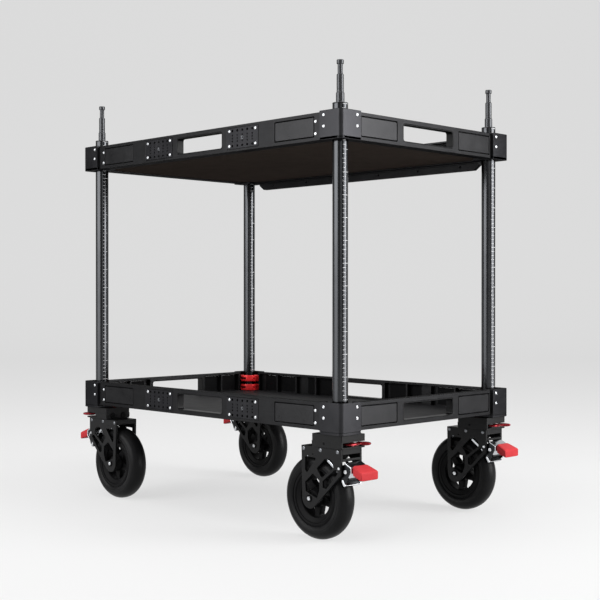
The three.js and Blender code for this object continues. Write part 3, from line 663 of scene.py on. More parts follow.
class CART_OT_shelves(bpy.types.Operator):
    """Shelf boards, notched round the corner brackets, and the rear accessory rail"""
    bl_idname = "cart.shelves"
    bl_label = "Shelves"

    def execute(self, context):
        rim, notch = RAIL_INSET + RAIL_DEPTH + GAP, CORNER_LEG + GAP
        x, y = DECK_LENGTH / 2 - rim, DECK_WIDTH / 2 - rim
        a, b = DECK_LENGTH / 2 - notch, DECK_WIDTH / 2 - notch
        outline = filleted([(-x, -b), (-a, -b), (-a, -y), (a, -y), (a, -b), (x, -b), (x, b), (a, b), (a, y),
                            (-a, y), (-a, b), (-x, b)], 2, 4)
        board = plate(outline, SHELF_LOW, SHELF_SEAM, edge=SHELF_EDGE, low_edge=0.5)
        face = plate(outline, SHELF_SEAM, SHELF_TOP, edge=SHELF_EDGE, low_edge=0)
        for deck, (body, base) in DECKS.items():
            make_piece(f"{deck}_shelf_board", board.moved(0, 0, base), "board", body, "shelf_board",
                       f"{deck}_shelf")
            make_piece(f"{deck}_shelf_face", face.moved(0, 0, base), "laminate", body, "shelf_board")
        slope = BAR_HALF - BAR_SLOPE
        shape = filleted([(-slope, BAR_LOW), (slope, BAR_LOW), (BAR_HALF, BAR_LOW + BAR_RISE),
                          (BAR_HALF, BAR_TOP), (-BAR_HALF, BAR_TOP), (-BAR_HALF, BAR_LOW + BAR_RISE)],
                         [3, 3, 2, 0, 0, 2], 4)
        last = BAR_HALF - BAR_HOLE_INSET
        holes = [circle(BAR_HOLE, x, BAR_LOW + BAR_HOLE_RISE, 12) for x in np.linspace(-last, last, 6)]
        reach = BAR_HALF - SEAM_INSET
        seam = rectangle(-reach, BAR_TOP - SEAM_LOW, reach, BAR_TOP - SEAM_TOP)
        make_piece("accessory_rail_bar", plate(shape, BAR_FRONT, BAR_BACK, holes, edge=0.8).stood(),
                   "extrusion_x", "top_deck", "black_anodised", "accessory_rail")
        make_piece("accessory_rail_seam",
                   plate(seam, BAR_FRONT - SEAM_DEPTH, BAR_FRONT + SEAM_DEPTH, edge=0.1).stood(),
                   "near_black_and_shade", "top_deck", "black_anodised")
        return {"FINISHED"}


# Posts: the scale's angles are degrees from +X

TUBE_BORE, TUBE_EDGE = 14.5, 0.6
SCALE_LOW, SCALE_TOP, LONG_LINE_EVERY = 318.0, 970.0, 5
LINE_START, LINE_END, LONG_LINE_END = -27.0, -3.0, 20.0
LINE_HALF, LINE_SINK, LINE_RISE = 0.6, 0.2, 0.12
SPIGOT_PROFILE = [
    (0, -28), (13.4, -28), (14.2, -27), (14.2, 0), (17.1, 0), (17.5, 0.5), (17.5, 1.5), (17, 2), (9.9, 2),
    (9.5, 2.6), (9.5, 23.8), (8.8, 25), (8, 25.4), (8, 31), (7.7, 31.4), (7.7, 32.6), (8, 33), (8, 64),
    (7.4, 65), (5.8, 66), (5.8, 86), (6.2, 87.6), (7.6, 88), (8, 88.6), (8, 95.8), (7.2, 97), (0, 97)]


def scale_lines(step):
    """Thin slabs bent round the post a little in front of its +X side, one every step, longer at each
    fifth one: each is a grid of angle and height, given a thickness."""
    low, high = POST_RADIUS - LINE_SINK, POST_RADIUS + LINE_RISE
    radius, up = np.array([(low, -LINE_HALF), (high, -LINE_HALF), (high, LINE_HALF), (low, LINE_HALF)]).T
    heights = np.arange(math.ceil(SCALE_LOW / step), math.floor(SCALE_TOP / step) + 1) * step
    grid, lines = numbered(7, 4), []
    for number, height in enumerate(heights):
        end = LINE_END if number % LONG_LINE_EVERY else LONG_LINE_END
        angle = np.radians(np.linspace(LINE_START, end, 7))
        angle = np.broadcast_to(angle[:, None], grid.shape)
        points = np.stack([radius * np.cos(angle), radius * np.sin(angle), height + up + 0 * angle], -1)
        lines.append(Surface(points, np.vstack([skin(grid), grid[:1], grid[-1:]])))
    return joined(lines)


class CART_OT_posts(bpy.types.Operator):
    """Graduated posts and the stepped spigots on top of them"""
    bl_idname = "cart.posts"
    bl_label = "Posts and spigots"

    def execute(self, context):
        low, top, outer = DECKS["lower"][1] + GAP, POST_TOP, POST_RADIUS
        tube = turned([(TUBE_BORE, low), (outer - TUBE_EDGE, low), (outer, low + TUBE_EDGE),
                       (outer, top - TUBE_EDGE), (outer - TUBE_EDGE, top), (TUBE_BORE, top)], 64, closed=True)
        spigot = turned(SPIGOT_PROFILE, 48).moved(0, 0, POST_TOP + GAP)
        lines = scale_lines(context.scene.cart_sizes.scale_step / MM)
        for place, (x, y, _) in PLACES.items():
            shift = (x * (DECK_LENGTH / 2 - POST_INSET), y * (DECK_WIDTH / 2 - POST_INSET), 0)
            make_piece(f"{place}_post_tube", tube.moved(*shift), "tube", "base", "post_anodised",
                       f"{place}_post")
            make_piece(f"{place}_post_scale", lines.moved(*shift), "mark", "base", "post_anodised")
            make_piece(f"{place}_spigot_pin", spigot.moved(*shift), "turned", "base", "spigot_black",
                       f"{place}_spigot")
        return {"FINISHED"}


# Post clamps

CLAMP_RADIUS, CLAMP_HEIGHT, CLAMP_LOWS, CLAMP_EDGE = 27.7, 18.0, (9.0, 36.4), 1.4
EAR_REACH, EAR_HALF, EAR_STEP, EAR_SEAT, SLIT_HALF = 34.5, 8.0, 1.5, 7.0, 1.5
RECESS_DEPTH, RECESS_HEIGHT, RECESS_SPREAD = 3.0, 5.6, 27.0
BARREL_SINK, BARREL_ROOT, BARREL_HALF, BARREL_MARGIN = 1.6, 0.5, 2.4, 2.0
CLAMP_SCREW_RADIUS, CLAMP_SCREW_HEIGHT, CLAMP_SCREW_X = 2.6, 1.6, 5.4
SPINE_LAP = 0.2


def clamp_outline(recess):
    """A split ring whose ear points to +Y. With a recess, the ring draws in over an arc round +X, and the
    ear over the seat of its screw."""
    bore = POST_RADIUS + GAP
    ear, slit = (math.degrees(math.asin(share)) for share in (EAR_HALF / CLAMP_RADIUS, SLIT_HALF / bore))
    angle = np.linspace(90 - ear, -270 + ear, 100)
    ring = (CLAMP_RADIUS - recess * (np.abs(angle) < RECESS_SPREAD))[:, None] * arc(1.0, angle)
    inner = arc(bore, np.linspace(-270 + slit, 90 - slit, 72))
    top, seat = EAR_REACH - EAR_STEP, EAR_REACH - EAR_SEAT
    near = [(SLIT_HALF, EAR_REACH), (EAR_HALF, EAR_REACH), (EAR_HALF, top), (EAR_HALF - recess, top),
            (EAR_HALF - recess, seat), (EAR_HALF, seat)]
    far = [(-EAR_HALF, seat), (-EAR_HALF, EAR_REACH), (-SLIT_HALF, EAR_REACH)]
    return np.concatenate([near, ring, far, inner])


def clamp_jaw(low):
    """Three layers of the ring: the middle one is drawn in at its recesses."""
    middle, top = low + CLAMP_HEIGHT / 2, low + CLAMP_HEIGHT
    ends = (middle - RECESS_HEIGHT / 2, middle + RECESS_HEIGHT / 2)
    whole = clamp_outline(0.0)
    return (plate(whole, low, ends[0], edge=0, low_edge=CLAMP_EDGE, steps=3)
            + plate(clamp_outline(RECESS_DEPTH), *ends, edge=0)
            + plate(whole, ends[1], top, edge=CLAMP_EDGE, low_edge=0, steps=3))


def clamp_barrel_and_shade(low):
    """The dark barrel nut in the ring's recess, and the socket screw in the ear's. The barrel nearly fills
    the recess in near black, so it is partly painted shade: it stands for the shade deep in the recess.
    """
    middle = low + CLAMP_HEIGHT / 2
    angle = np.linspace(-RECESS_SPREAD + BARREL_MARGIN, RECESS_SPREAD - BARREL_MARGIN, 16)
    outer = arc(CLAMP_RADIUS - BARREL_SINK, angle)
    inner = arc(CLAMP_RADIUS - RECESS_DEPTH - BARREL_ROOT, angle[::-1])
    barrel = plate(np.concatenate([outer, inner]), middle - BARREL_HALF, middle + BARREL_HALF, edge=0.6)
    head = screw(CLAMP_SCREW_RADIUS, CLAMP_SCREW_HEIGHT).sideways()
    return barrel + head.moved(CLAMP_SCREW_X, EAR_REACH - (EAR_STEP + EAR_SEAT) / 2, middle)


class CART_OT_clamps(bpy.types.Operator):
    """Red split clamps that grip the posts in every corner"""
    bl_idname = "cart.clamps"
    bl_label = "Post clamps"

    def execute(self, context):
        jaws, barrels_and_shade = (joined([shape(low) for low in CLAMP_LOWS]).moved(POST_INSET, POST_INSET)
                         for shape in (clamp_jaw, clamp_barrel_and_shade))
        jaws += plate(filleted([(12, 12), (26, 11), (22, 22), (11, 26)], 3, 4),
                      CLAMP_LOWS[0] + CLAMP_HEIGHT - SPINE_LAP, CLAMP_LOWS[1] + SPINE_LAP, edge=0)
        for place in PLACES:
            for deck, (body, base) in DECKS.items():
                nodes = [f"{place}_post_clamp"] if deck == "lower" else []
                make_piece(f"{place}_{deck}_clamp", at_corner(jaws, place, base), "red_anodised", body,
                           "red_anodised", *nodes)
                make_piece(f"{place}_{deck}_clamp_screws", at_corner(barrels_and_shade, place, base), "near_black_and_shade",
                           body, "black_anodised")
        return {"FINISHED"}


# Caster heads and levers

HEAD_HALF_X, HEAD_HALF_Y, HEAD_RADIUS = 45.5, 38.5, 2.5
SLOT_LOW, SLOT_TOP, SLOT_BACK, SLOT_REACH, CORE_RADIUS = 3.8, 14.2, 5.0, 34.0, 24.3
KINGPIN_RADIUS, KINGPIN_REACH, KINGPIN_EDGE, KINGPIN_LAP = 10.0, 9.0, 1.0, 1.0
RACE_PROFILE, RACE_Y, RACE_RISE, RACE_OUT = [(0, 0), (8, 0), (8, 1.4), (6.8, 2.4), (0, 2.4)], 17.0, 9.5, 0.2
PLUG_RADIUS, PLUG_X, PLUG_Z = 2.9, -8.4, 222.4
LEVER_START, LEVER_END, LEVER_RISE, LEVER_INNER, LEVER_WIDTH = -35.0, 38.2, 9.0, 34.0, 18.6
TAB_START, TAB_SHIFT, TAB_WIDTH = 25.0, 4.0, 35.6


def lock_lever():
    """A rounded bar bent round the kingpin, from a point behind the block's edge to a thumb tab. For each
    angle round the kingpin, a superellipse of its radial and upright half sizes stands on the arc."""
    turn = np.concatenate([np.linspace(LEVER_START, -31, 5), np.linspace(-29, 38, 64)])
    tab = 1 / (1 + np.exp(TAB_START - turn))
    grown = np.clip((turn - LEVER_START) / 22, 0.02, 1) ** 0.5
    closing = np.sqrt(np.clip((LEVER_END - turn) / 4.0, 0.01, 1))
    width = LEVER_WIDTH * grown * (1 - tab) + TAB_WIDTH * tab
    middle = LEVER_INNER + TAB_SHIFT * tab + width / 2
    half_wide = width / 2 * (0.3 + 0.7 * closing)
    swell, waist = 2.2 * np.exp(-((turn - 2) / 13) ** 2), 0.5 * np.exp(-((turn - 21) / 5) ** 2)
    half_high = (2.3 + swell - waist + 1.9 * tab) * np.minimum(grown, closing)
    across, upward = circle(1.0, sides=20).T
    across, upward = np.sign(across) * np.abs(across) ** 0.7, np.sign(upward) * np.abs(upward) ** 0.8
    radius = middle[:, None] + half_wide[:, None] * across
    height = HEAD_BASE + LEVER_RISE + half_high[:, None] * upward
    points = np.concatenate([radius[..., None] * arc(1.0, turn)[:, None], height[..., None]], -1)
    return poled(points, points[[0, -1]].mean(1))


class CART_OT_heads(bpy.types.Operator):
    """Caster head blocks with their slots, and the dark red swivel lock levers"""
    bl_idname = "cart.heads"
    bl_label = "Caster heads and lock levers"

    def execute(self, context):
        edge = context.scene.cart_sizes.edge_round / MM
        x, y = HEAD_HALF_X, HEAD_HALF_Y
        whole = rectangle(-x, -y, x, y, HEAD_RADIUS)
        slot_low, slot_top = HEAD_BASE + SLOT_LOW, HEAD_BASE + SLOT_TOP
        bend = math.degrees(math.acos(SLOT_BACK / CORE_RADIUS))
        slotted = np.concatenate([[(-x, -y), (x, -y), (x, -SLOT_REACH), (SLOT_BACK, -SLOT_REACH)],
                                  arc(CORE_RADIUS, np.linspace(-bend, bend, 25)), [(SLOT_BACK, y), (-x, y)]])
        low, top, wide = HEAD_BASE - KINGPIN_REACH, HEAD_BASE + KINGPIN_LAP, KINGPIN_RADIUS
        pin = turned([(0, low), (wide - KINGPIN_EDGE, low), (wide, low + KINGPIN_EDGE), (wide, top),
                      (0, top)])
        block = (plate(whole, HEAD_BASE, slot_low, edge=0.1, low_edge=edge)
                 + plate(slotted, slot_low, slot_top, edge=0)
                 + plate(whole, slot_top, HEAD_TOP, edge=edge, low_edge=0.1) + pin)
        race = turned(RACE_PROFILE, 24).spun(-90, "Y").moved(-x - RACE_OUT, 0, HEAD_BASE + RACE_RISE)
        races = race.moved(0, -RACE_Y) + race.moved(0, RACE_Y)
        plug = screw(PLUG_RADIUS, 0.4).stood().mirrored("Y").moved(PLUG_X, -y, PLUG_Z)
        on_casters(("head_block", block, "powder", "base", "cast_black", "caster_head"),
                   ("bearing_races", races, "rim", "base", "cast_black"),
                   ("head_plug", plug, "near_black_and_shade", "base", "cast_black"),
                   ("lock_lever", lock_lever(), "lever", "lock", "lever_red", "swivel_lock_lever"))
        return {"FINISHED"}


# Forks

FORK_BACK, FORK_FRONT, FORK_ROOF, BOSS_RADIUS = -83.0, 39.5, 12.0, 23.0
PIVOT, BOLT, SHOE = (33.3, 171.2), (46.5, 164.4), (39.5, 139.0)
AXLE_HOLE, PIVOT_HOLE, STUD_HOLE, STUD = 6.6, 3.3, 1.3, (-46.6, 195.7)
FORK_SCREWS = [(-75.4, 206.5, 4.3), (-22.9, 206.5, 4.3), (29.4, 206.9, 4.3), (-63, 190.4, 1.7)]
NUT_PROFILE = [(0, 184.5), (9, 184.5), (10.5, 185.5), (10.5, 188.5), (20, 188.5), (22, 190.5), (22, 200.7),
               (0, 200.7)]
AXLE_HALF = [(0, 35.4), (8, 35.4), (8, 34.3), (6, 34.3)]
AXLE_CAP_PROFILE = [(0, 36.6), (2, 36.6), (2, 38), (3.6, 38), (4.6, 37.2), (4.8, 35.5), (0, 35.5)]


def fork_side():
    """One truss plate: steep trailing edge, boss round the axle, sloping leading edge, four openings."""
    outline = np.concatenate([
        [(FORK_BACK, FORK_TOP)], arc(BOSS_RADIUS, np.linspace(180, 315, 22)) + (WHEEL_BACK, WHEEL_RADIUS),
        [(33, 150.6), (37.5, 153), (FORK_FRONT, 157), (FORK_FRONT, FORK_TOP)]])
    openings = [
        filleted([(-71, 188), (-36, 188), (-66, 152), (-71, 158)], [1.5, 2, 3, 3]),
        filleted([(-34.7, 164.5), (-9.6, 188), (3, 190), (13.5, 183), (16.5, 171), (-20, 145)], 3),
        filleted([(-46.6, 152), (-27, 138), (-27, 116), (-34.5, 97.5), (-69, 110), (-70.8, 131)], 3),
        filleted([(18.5, 165), (25, 167.5), (29.5, 159.5), (-6, 122), (-15.5, 123), (-16.5, 138)], 3),
        circle(AXLE_HOLE, WHEEL_BACK, WHEEL_RADIUS, 24), circle(PIVOT_HOLE, *PIVOT, 16),
        circle(STUD_HOLE, *STUD, 10)]
    return outline, openings


def crosspin(profile, place):
    """A turned profile of (radius, reach) points laid along Y at a place in X and Z."""
    return turned(profile, 28).spun(90, "X").moved(place[0], 0, place[1])


def even_pin(half, place):
    """A crosspin whose two halves are alike, from the profile of the half towards +Y."""
    return crosspin(half + [(radius, -reach) for radius, reach in half[::-1]], place)


class CART_OT_forks(bpy.types.Operator):
    """Truss-sided forks with their screws, axle bolts and swivel nuts"""
    bl_idname = "cart.forks"
    bl_label = "Forks and axles"

    def execute(self, context):
        edge = context.scene.cart_sizes.edge_round / MM
        outline, openings = fork_side()
        inner = FORK_HALF - FORK_PLATE
        side = plate(outline, -FORK_HALF, -inner, openings, edge=edge * 1.2).stood()
        roof = plate(rectangle(FORK_BACK, -inner, FORK_FRONT, inner), FORK_TOP - FORK_ROOF, FORK_TOP,
                     [circle(KINGPIN_RADIUS + GAP, sides=32)], edge=0)
        bar = plate(rectangle(33, 185.5, FORK_FRONT, 191.5, 1.2), -inner, inner, edge=0).stood()
        heads = joined([screw(size, 1.2 if size > 3 else 0.6).stood().mirrored("Y").moved(x, -FORK_HALF, z)
                        for x, z, size in FORK_SCREWS])
        axle = (WHEEL_BACK, WHEEL_RADIUS)
        bolt, caps = even_pin(AXLE_HALF, axle), mirror_pair(crosspin(AXLE_CAP_PROFILE, axle))
        on_casters(("fork_frame", mirror_pair(side) + roof + bar, "powder", "swivel", "cast_black", "fork"),
                   ("fork_screws", mirror_pair(heads), "oiled", "swivel", "bright_steel"),
                   ("swivel_nut", turned(NUT_PROFILE), "near_black_and_shade", "swivel", "bright_steel"),
                   ("axle_bolt", bolt, "near_black_and_shade", "swivel", "bright_steel", "axle"),
                   ("axle_caps", caps, "zinc", "swivel", "bright_steel"))
        return {"FINISHED"}


# Wheels: a half profile is the (radius, reach) points on one side of the wheel's middle

BARREL_HALF_PROFILE = [(44.5, 13), (46, 15.5), (50, 17), (56.5, 19.5), (58, 21.6), (60, 22), (62.5, 21.4),
                       (65, 20.6), (65, 18.2), (62, 17.9)]
HUB_HALF_PROFILE = [(6.3, 27), (9, 27), (9.6, 26.4), (10, 24), (16.5, 24), (17.5, 23), (20, 18), (22.5, 13)]
SPOKE_OUTLINE = [(18, -11.5), (39, -7), (46, -12), (46, 12), (39, 7), (18, 11.5)]
SPOKE_COUNT, SPOKE_HALF_DEPTH, SPOKE_EDGE = 5, 9.0, 2.0
TYRE_HALF_PROFILE = [
    (62.6, 17.5), (65.6, 17.5), (66, 21.2), (68.5, 23), (72, 24.3), (75.2, 24.7), (76, 24.2), (77.2, 24.2),
    (78, 24.5), (81.5, 23.6), (85, 21.9), (88.2, 19.4), (91.2, 15.9), (93.4, 12), (94.7, 8.2), (95.35, 4.4),
    (95.5, 0.8)]


def both_halves(half, sides):
    """A turned ring from the profile of one half, mirrored for the other."""
    return turned([(radius, -reach) for radius, reach in half] + half[::-1], sides, closed=True)


def wheel_rim():
    """Barrel with a lip and a step on each side, a hub with bearing collars, and five straight spokes."""
    barrel = both_halves(BARREL_HALF_PROFILE, 96)
    spoke = plate(filleted(SPOKE_OUTLINE, [0, 4, 0, 0, 4, 0]), -SPOKE_HALF_DEPTH, SPOKE_HALF_DEPTH,
                  edge=SPOKE_EDGE, steps=3)
    spokes = joined([spoke.spun(-90 + 360 / SPOKE_COUNT * number) for number in range(SPOKE_COUNT)])
    return barrel + both_halves(HUB_HALF_PROFILE, 48) + spokes


class CART_OT_wheels(bpy.types.Operator):
    """Spoked wheels with fat rubber tyres"""
    bl_idname = "cart.wheels"
    bl_label = "Wheels"

    def execute(self, context):
        tyre = both_halves(TYRE_HALF_PROFILE, context.scene.cart_sizes.tyre_sides)
        rim, rubber = (shape.spun(90, "X").moved(WHEEL_BACK, 0, WHEEL_RADIUS)
                       for shape in (wheel_rim(), tyre))
        on_casters(("rim", rim, "rim", "wheel", "rim_black", "wheel_rim"),
                   ("tyre_rubber", rubber, "rubber", "wheel", "tyre_rubber", "tyre"))
        return {"FINISHED"}


# Brakes: a strip is its line in X and Z, its thickness, its half width and its edge

CHEEK_OUTER, CHEEK_INNER, CHEEK_SINK = 26.4, 23.4, 0.4
LINK_START, LINK_RISE, LINK_LENGTH, LINK_HALF = (26.0, 160.0), 35.5, 48.0, 2.9
STRAP = ([(43.5, 183.0), (61.8, 173.8), (62.2, 163.5), (55.5, 152.6)], 2.8, CHEEK_OUTER, 0.6)
GUSSET = ([(54.4, 153.2), (52.6, 149.5), (41, 144.2)], 2.6, 22.0, 0.4)
STRIP_BEND = 3.0
SHOE_TILT, SHOE_INSET, TRIM_DEPTH, TRIM_PIN_REACH, TRIM_PIN_PLACE = -30.0, 3.0, 3.6, 23.0, (2.8, -7.4)
PIN_REACH = FORK_HALF + 1.4
PIVOT_HALF = [(0, PIN_REACH), (2.6, PIN_REACH), (3.2, PIN_REACH - 0.7), (3.2, FORK_HALF), (3, FORK_HALF)]
BOLT_HALF = [(0, 27.6), (2, 27.6), (2, 28.6), (3.8, 28.6), (4.6, 27.6), (4.6, 26.2), (3, 26.2)]
SPRING_RADIUS, SPRING_WAVE, SPRING_PITCH, SPRING_REACH, SPRING_END = 5.6, 0.6, 2.25, 9.0, 9.2


def foot_pad():
    """A wedge with round edges: a rounded rectangle carried from the rear end to the wider, lower front,
    drawn in at both ends."""
    share = np.array([0, 0.01, 0.03, 0.07, 0.2, 0.5, 0.8, 0.92, 0.97, 0.99, 1.0])
    draw = np.array([2.4, 1.3, 0.7, 0.2, 0, 0, 0, 0.3, 1.0, 1.8, 3.2])
    x, half_width = 64.4 + 29.8 * share, 23.5 + 4.6 * share - draw
    top, low = 179.6 - 12.4 * share - draw * 0.8, 157 - 9.4 * share + draw * 0.8
    unit = rectangle(-1, -1, 1, 1, 0.24, 6)
    y = unit[:, 0] * half_width[:, None]
    z = (top + low)[:, None] / 2 + unit[:, 1] * (top - low)[:, None] / 2
    grid = numbered(*y.shape)
    ends = np.array(tessellate_polygon([[Vector((a, b, 0)) for a, b in unit]]))
    return Surface(np.stack([np.broadcast_to(x[:, None], y.shape), y, z], -1), skin(grid),
                   np.vstack([ends[:, ::-1], ends + grid[-1, 0]]))


def brake_cheek():
    """The stamped side plate that joins pad, bolt and shoe."""
    outline = filleted([(24, 158), (31.5, 148.5), (35, 139), (39.5, 133.5), (47, 139.5), (51, 149.5),
                        (60, 162), (60, 172.6), (44.5, 181), (37, 178.5), (27.5, 175.5), (21, 168)],
                       [2, 2, 2, 2, 3, 3, 2, 2, 4, 3, 2, 3])
    return plate(outline, -CHEEK_OUTER + CHEEK_SINK, -CHEEK_INNER, edge=0.5).stood()


def brake_link():
    """The bright link that runs up and back from the cheek, a bar with rounded ends."""
    across = arc(LINK_HALF, 90 - LINK_RISE)
    tip = LINK_START + arc(LINK_LENGTH, 180 - LINK_RISE)
    outline = filleted([LINK_START - across, LINK_START + across, tip + across, tip - across],
                       [2, 2, 2.7, 2.7], 6)
    return plate(outline, -CHEEK_OUTER, -CHEEK_INNER - CHEEK_SINK, edge=0.7).stood()


def brake_strip(line, thickness, half, edge):
    """A bent strip across the brake."""
    return plate(ribbon(line, thickness, STRIP_BEND), -half, half, edge=edge).stood()


def shoe_pieces():
    """The shoe's bar, and its trim: a cap on each end and a pin between them."""
    reach = CHEEK_OUTER - SHOE_INSET
    bar = plate(rectangle(-3.4, -7.8, 3.4, 7.8, 1.4, 4), -reach, reach, edge=0).stood()
    cap = plate(rectangle(-3.6, -8, 3.6, 8, 3), -CHEEK_OUTER, -CHEEK_OUTER + TRIM_DEPTH, edge=0.6,
                low_edge=1.6, steps=3).stood()
    trim = mirror_pair(cap) + even_pin([(0, TRIM_PIN_REACH), (0.9, TRIM_PIN_REACH)], TRIM_PIN_PLACE)
    return [shape.spun(SHOE_TILT, "Y").moved(SHOE[0], 0, SHOE[1]) for shape in (bar, trim)]


def brake_spring():
    """A coil on the bolt, its windings a wave along its length."""
    reach = np.linspace(-SPRING_REACH, SPRING_REACH, 73)
    radius = SPRING_RADIUS + SPRING_WAVE * np.cos(reach * 2 * math.pi / SPRING_PITCH)
    return crosspin([(0, -SPRING_END), *np.stack([radius, reach], -1), (0, SPRING_END)], BOLT)


class CART_OT_brakes(bpy.types.Operator):
    """Foot pads, bent straps, cheeks, links, pins and shoes of the four brakes"""
    bl_idname = "cart.brakes"
    bl_label = "Brakes"

    def execute(self, context):
        shoe, trim = shoe_pieces()
        pins = even_pin(PIVOT_HALF, PIVOT) + even_pin(BOLT_HALF, BOLT)
        on_casters(("brake_pad", foot_pad(), "pedal", "brake", "red_paint", "brake_pedal"),
                   ("brake_cheeks", mirror_pair(brake_cheek()), "oxide", "brake", "bright_steel"),
                   ("brake_links", mirror_pair(brake_link()), "chrome", "brake", "bright_steel"),
                   ("brake_strap", brake_strip(*STRAP), "chrome", "brake", "bright_steel"),
                   ("brake_shoe", shoe + brake_strip(*GUSSET), "oxide", "brake", "bright_steel"),
                   ("brake_trim", trim, "zinc", "brake", "bright_steel"),
                   ("brake_pins", pins, "zinc", "brake", "bright_steel"),
                   ("brake_spring", brake_spring(), "near_black_and_shade", "brake", "bright_steel"))
        return {"FINISHED"}


# Stage

CAMERA_PLACE = (2219.7, -2143.5, 550.8)
CAMERA_AZIMUTH, CAMERA_DROP = 45.37, 0.26
PAPER_GREY, PAPER_GLOW, AIR_STRENGTH = 0.22, 0.64, 0.3
FLOOR_REACH, SWEEP_START, SWEEP_RADIUS, PAPER_TOP, PAPER_HALF = 9.0, 7.0, 3.0, 9.0, 14.0


def pale_paper():
    """Studio paper: the camera, mirrors and glass see it pale, and the lamps light it like grey card, so
    that it keeps the cart's shadow and throws little light up under the shelves."""
    paper = bpy.data.materials.new("pale studio paper")
    paper.use_nodes = True
    tree = paper.node_tree
    shader = tree.nodes["Principled BSDF"]
    shader.inputs["Base Color"].default_value = (PAPER_GREY, PAPER_GREY, PAPER_GREY, 1)
    shader.inputs["Roughness"].default_value = 0.9
    shader.inputs["Specular IOR Level"].default_value = 0.0
    rays = node(tree, "ShaderNodeLightPath")
    either = node(tree, "ShaderNodeMath", {"operation": "MAXIMUM"},
                  {0: (rays, "Is Camera Ray"), 1: (rays, "Is Glossy Ray")})
    seen = node(tree, "ShaderNodeMath", {"operation": "MAXIMUM"},
                {0: (either, 0), 1: (rays, "Is Transmission Ray")})
    glow = node(tree, "ShaderNodeMath", {"operation": "MULTIPLY", 1: PAPER_GLOW}, {0: (seen, 0)})
    shader.inputs["Emission Color"].default_value = (1, 1, 1, 1)
    tree.links.new(glow.outputs[0], shader.inputs["Emission Strength"])
    return paper


SOFTBOXES = {
    # name: (place on the floor, width, lowest and highest edge in metres, radiance); those of one softbox
    # stand a little in front of each other and make it grow brighter upwards
    "front softbox": ((-0.865, -3.30), 3.4, (0.0, 2.8), 1.8),
    "front softbox from the knee": ((-0.855, -3.27), 3.4, (0.35, 2.8), 1.1),
    "front softbox from the hip": ((-0.845, -3.24), 3.4, (0.8, 2.8), 1.7),
    "right softbox": ((2.80, 1.43), 1.5, (0.0, 2.8), 7.4),
    "strip right of the camera": ((3.19, 0.28), 0.6, (0.1, 2.6), 4.0),
    "right softbox from the hip": ((2.77, 1.415), 1.5, (0.7, 2.8), 2.8),
    "strip beside the camera": ((3.3, -2.2), 0.5, (0.1, 2.5), 1.6),
}
TOP_LAMP_PLACE, TOP_LAMP_SIZE, TOP_LAMP_POWER = (0.3, -0.3, 3.6), 2.6, 55.0


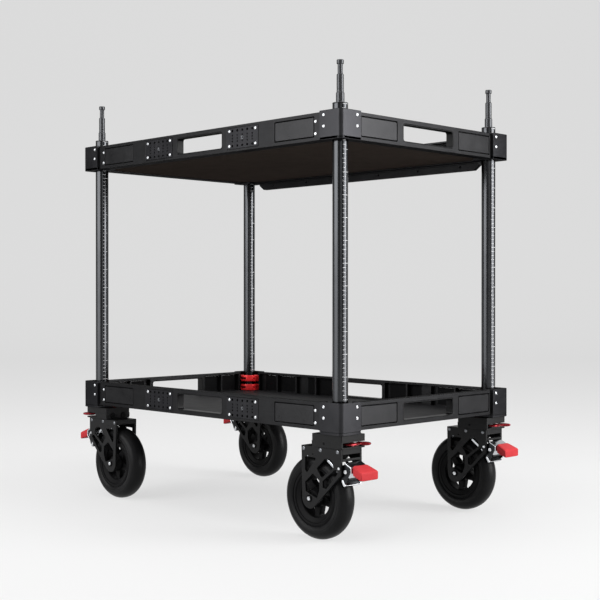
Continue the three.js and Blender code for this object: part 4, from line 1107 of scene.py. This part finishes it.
class CART_OT_stage(bpy.types.Operator):
    """Pale floor that sweeps up behind the cart, soft lamps and the camera"""
    bl_idname = "cart.stage"
    bl_label = "Stage"

    def lamp(self, scene, name, width, height, power):
        """An area lamp that the camera doesn't see."""
        light = bpy.data.lights.new(name, "AREA")
        light.shape = "RECTANGLE"
        light.size, light.size_y, light.energy = width, height, power
        holder = bpy.data.objects.new(name, light)
        holder.visible_camera = False
        scene.collection.objects.link(holder)
        return holder

    def execute(self, context):
        scene = context.scene
        sweep = arc(SWEEP_RADIUS, np.linspace(-90, 0, 17)) + (SWEEP_START, SWEEP_RADIUS)
        line = np.concatenate([[(-FLOOR_REACH, 0)], sweep, [(SWEEP_START + SWEEP_RADIUS, PAPER_TOP)]])
        across = np.array([-PAPER_HALF, PAPER_HALF])
        a = math.radians(CAMERA_AZIMUTH)
        away, right = np.array([-math.sin(a), math.cos(a)]), np.array([math.cos(a), math.sin(a)])
        flat = line[:, None, :1] * away + across[None, :, None] * right
        points = np.concatenate([flat, np.broadcast_to(line[:, None, 1:], (len(line), 2, 1))], -1)
        index = numbered(len(line), 2)
        quads = np.stack([index[:-1, 0], index[:-1, 1], index[1:, 1], index[1:, 0]], -1)
        mesh = bpy.data.meshes.new("backdrop")
        mesh.from_pydata(points.reshape(-1, 3), [], quads.tolist())
        mesh.shade_smooth()
        mesh.materials.append(pale_paper())
        backdrop = bpy.data.objects.new("backdrop", mesh)
        scene.collection.objects.link(backdrop)

        world = bpy.data.worlds.new("studio air")
        scene.world = world
        world.use_nodes = True
        air = world.node_tree.nodes["Background"]
        air.inputs["Color"].default_value = (1, 1, 1, 1)
        air.inputs["Strength"].default_value = AIR_STRENGTH

        for name, (place, width, (low, high), radiance) in SOFTBOXES.items():
            power = radiance * math.pi * width * (high - low)
            lamp = self.lamp(scene, name, width, high - low, power)
            lamp.location = (*place, (low + high) / 2)
            lamp.rotation_euler = Vector((-place[0], -place[1], 0)).to_track_quat("-Z", "Y").to_euler()
        lamp = self.lamp(scene, "top softbox", TOP_LAMP_SIZE, TOP_LAMP_SIZE, TOP_LAMP_POWER)
        lamp.location = TOP_LAMP_PLACE

        camera = bpy.data.cameras.new("camera")
        camera.sensor_width = 36.0
        camera.lens = scene.cart_sizes.camera_lens
        camera.clip_start, camera.clip_end = 0.1, 60
        holder = bpy.data.objects.new("camera", camera)
        e = math.radians(CAMERA_DROP)
        back = Vector((math.sin(a) * math.cos(e), -math.cos(a) * math.cos(e), math.sin(e)))
        holder.location = Vector(CAMERA_PLACE) * MM
        holder.rotation_euler = (-back).to_track_quat("-Z", "Y").to_euler()
        scene.collection.objects.link(holder)
        scene.camera = holder
        scene.view_settings.view_transform = "Standard"
        return {"FINISHED"}


class CART_PT_panel(bpy.types.Panel):
    """Lists the cart's pieces, sizes and colours"""
    bl_idname = "CART_PT_panel"
    bl_label = "Camera Cart"
    bl_space_type = "VIEW_3D"
    bl_region_type = "UI"
    bl_category = "Camera Cart"

    def draw(self, context):
        for group in (context.scene.cart_sizes, context.scene.cart_colours):
            box = self.layout.box()
            for name in group.bl_rna.properties.keys():
                if name not in ("rna_type", "name"):
                    box.prop(group, name)
        for operator in OPERATORS:
            self.layout.operator(operator.bl_idname)


OPERATORS = (CART_OT_stage, CART_OT_rails, CART_OT_corners, CART_OT_shelves, CART_OT_posts, CART_OT_clamps,
             CART_OT_heads, CART_OT_forks, CART_OT_wheels, CART_OT_brakes)
CLASSES = (CartSizes, CartColours, *OPERATORS, CART_PT_panel)


def register():
    """Registers the classes and hangs the settings on the scene."""
    for cls in CLASSES:
        bpy.utils.register_class(cls)
    bpy.types.Scene.cart_sizes = PointerProperty(type=CartSizes)
    bpy.types.Scene.cart_colours = PointerProperty(type=CartColours)


def unregister():
    """Takes the settings and the classes away again."""
    del bpy.types.Scene.cart_sizes, bpy.types.Scene.cart_colours
    for cls in reversed(CLASSES):
        bpy.utils.unregister_class(cls)


def main():
    """Builds the stage and every group of pieces."""
    register()
    for operator in OPERATORS:
        group, name = operator.bl_idname.split(".")
        getattr(getattr(bpy.ops, group), name)()


if __name__ == "__main__":
    main()
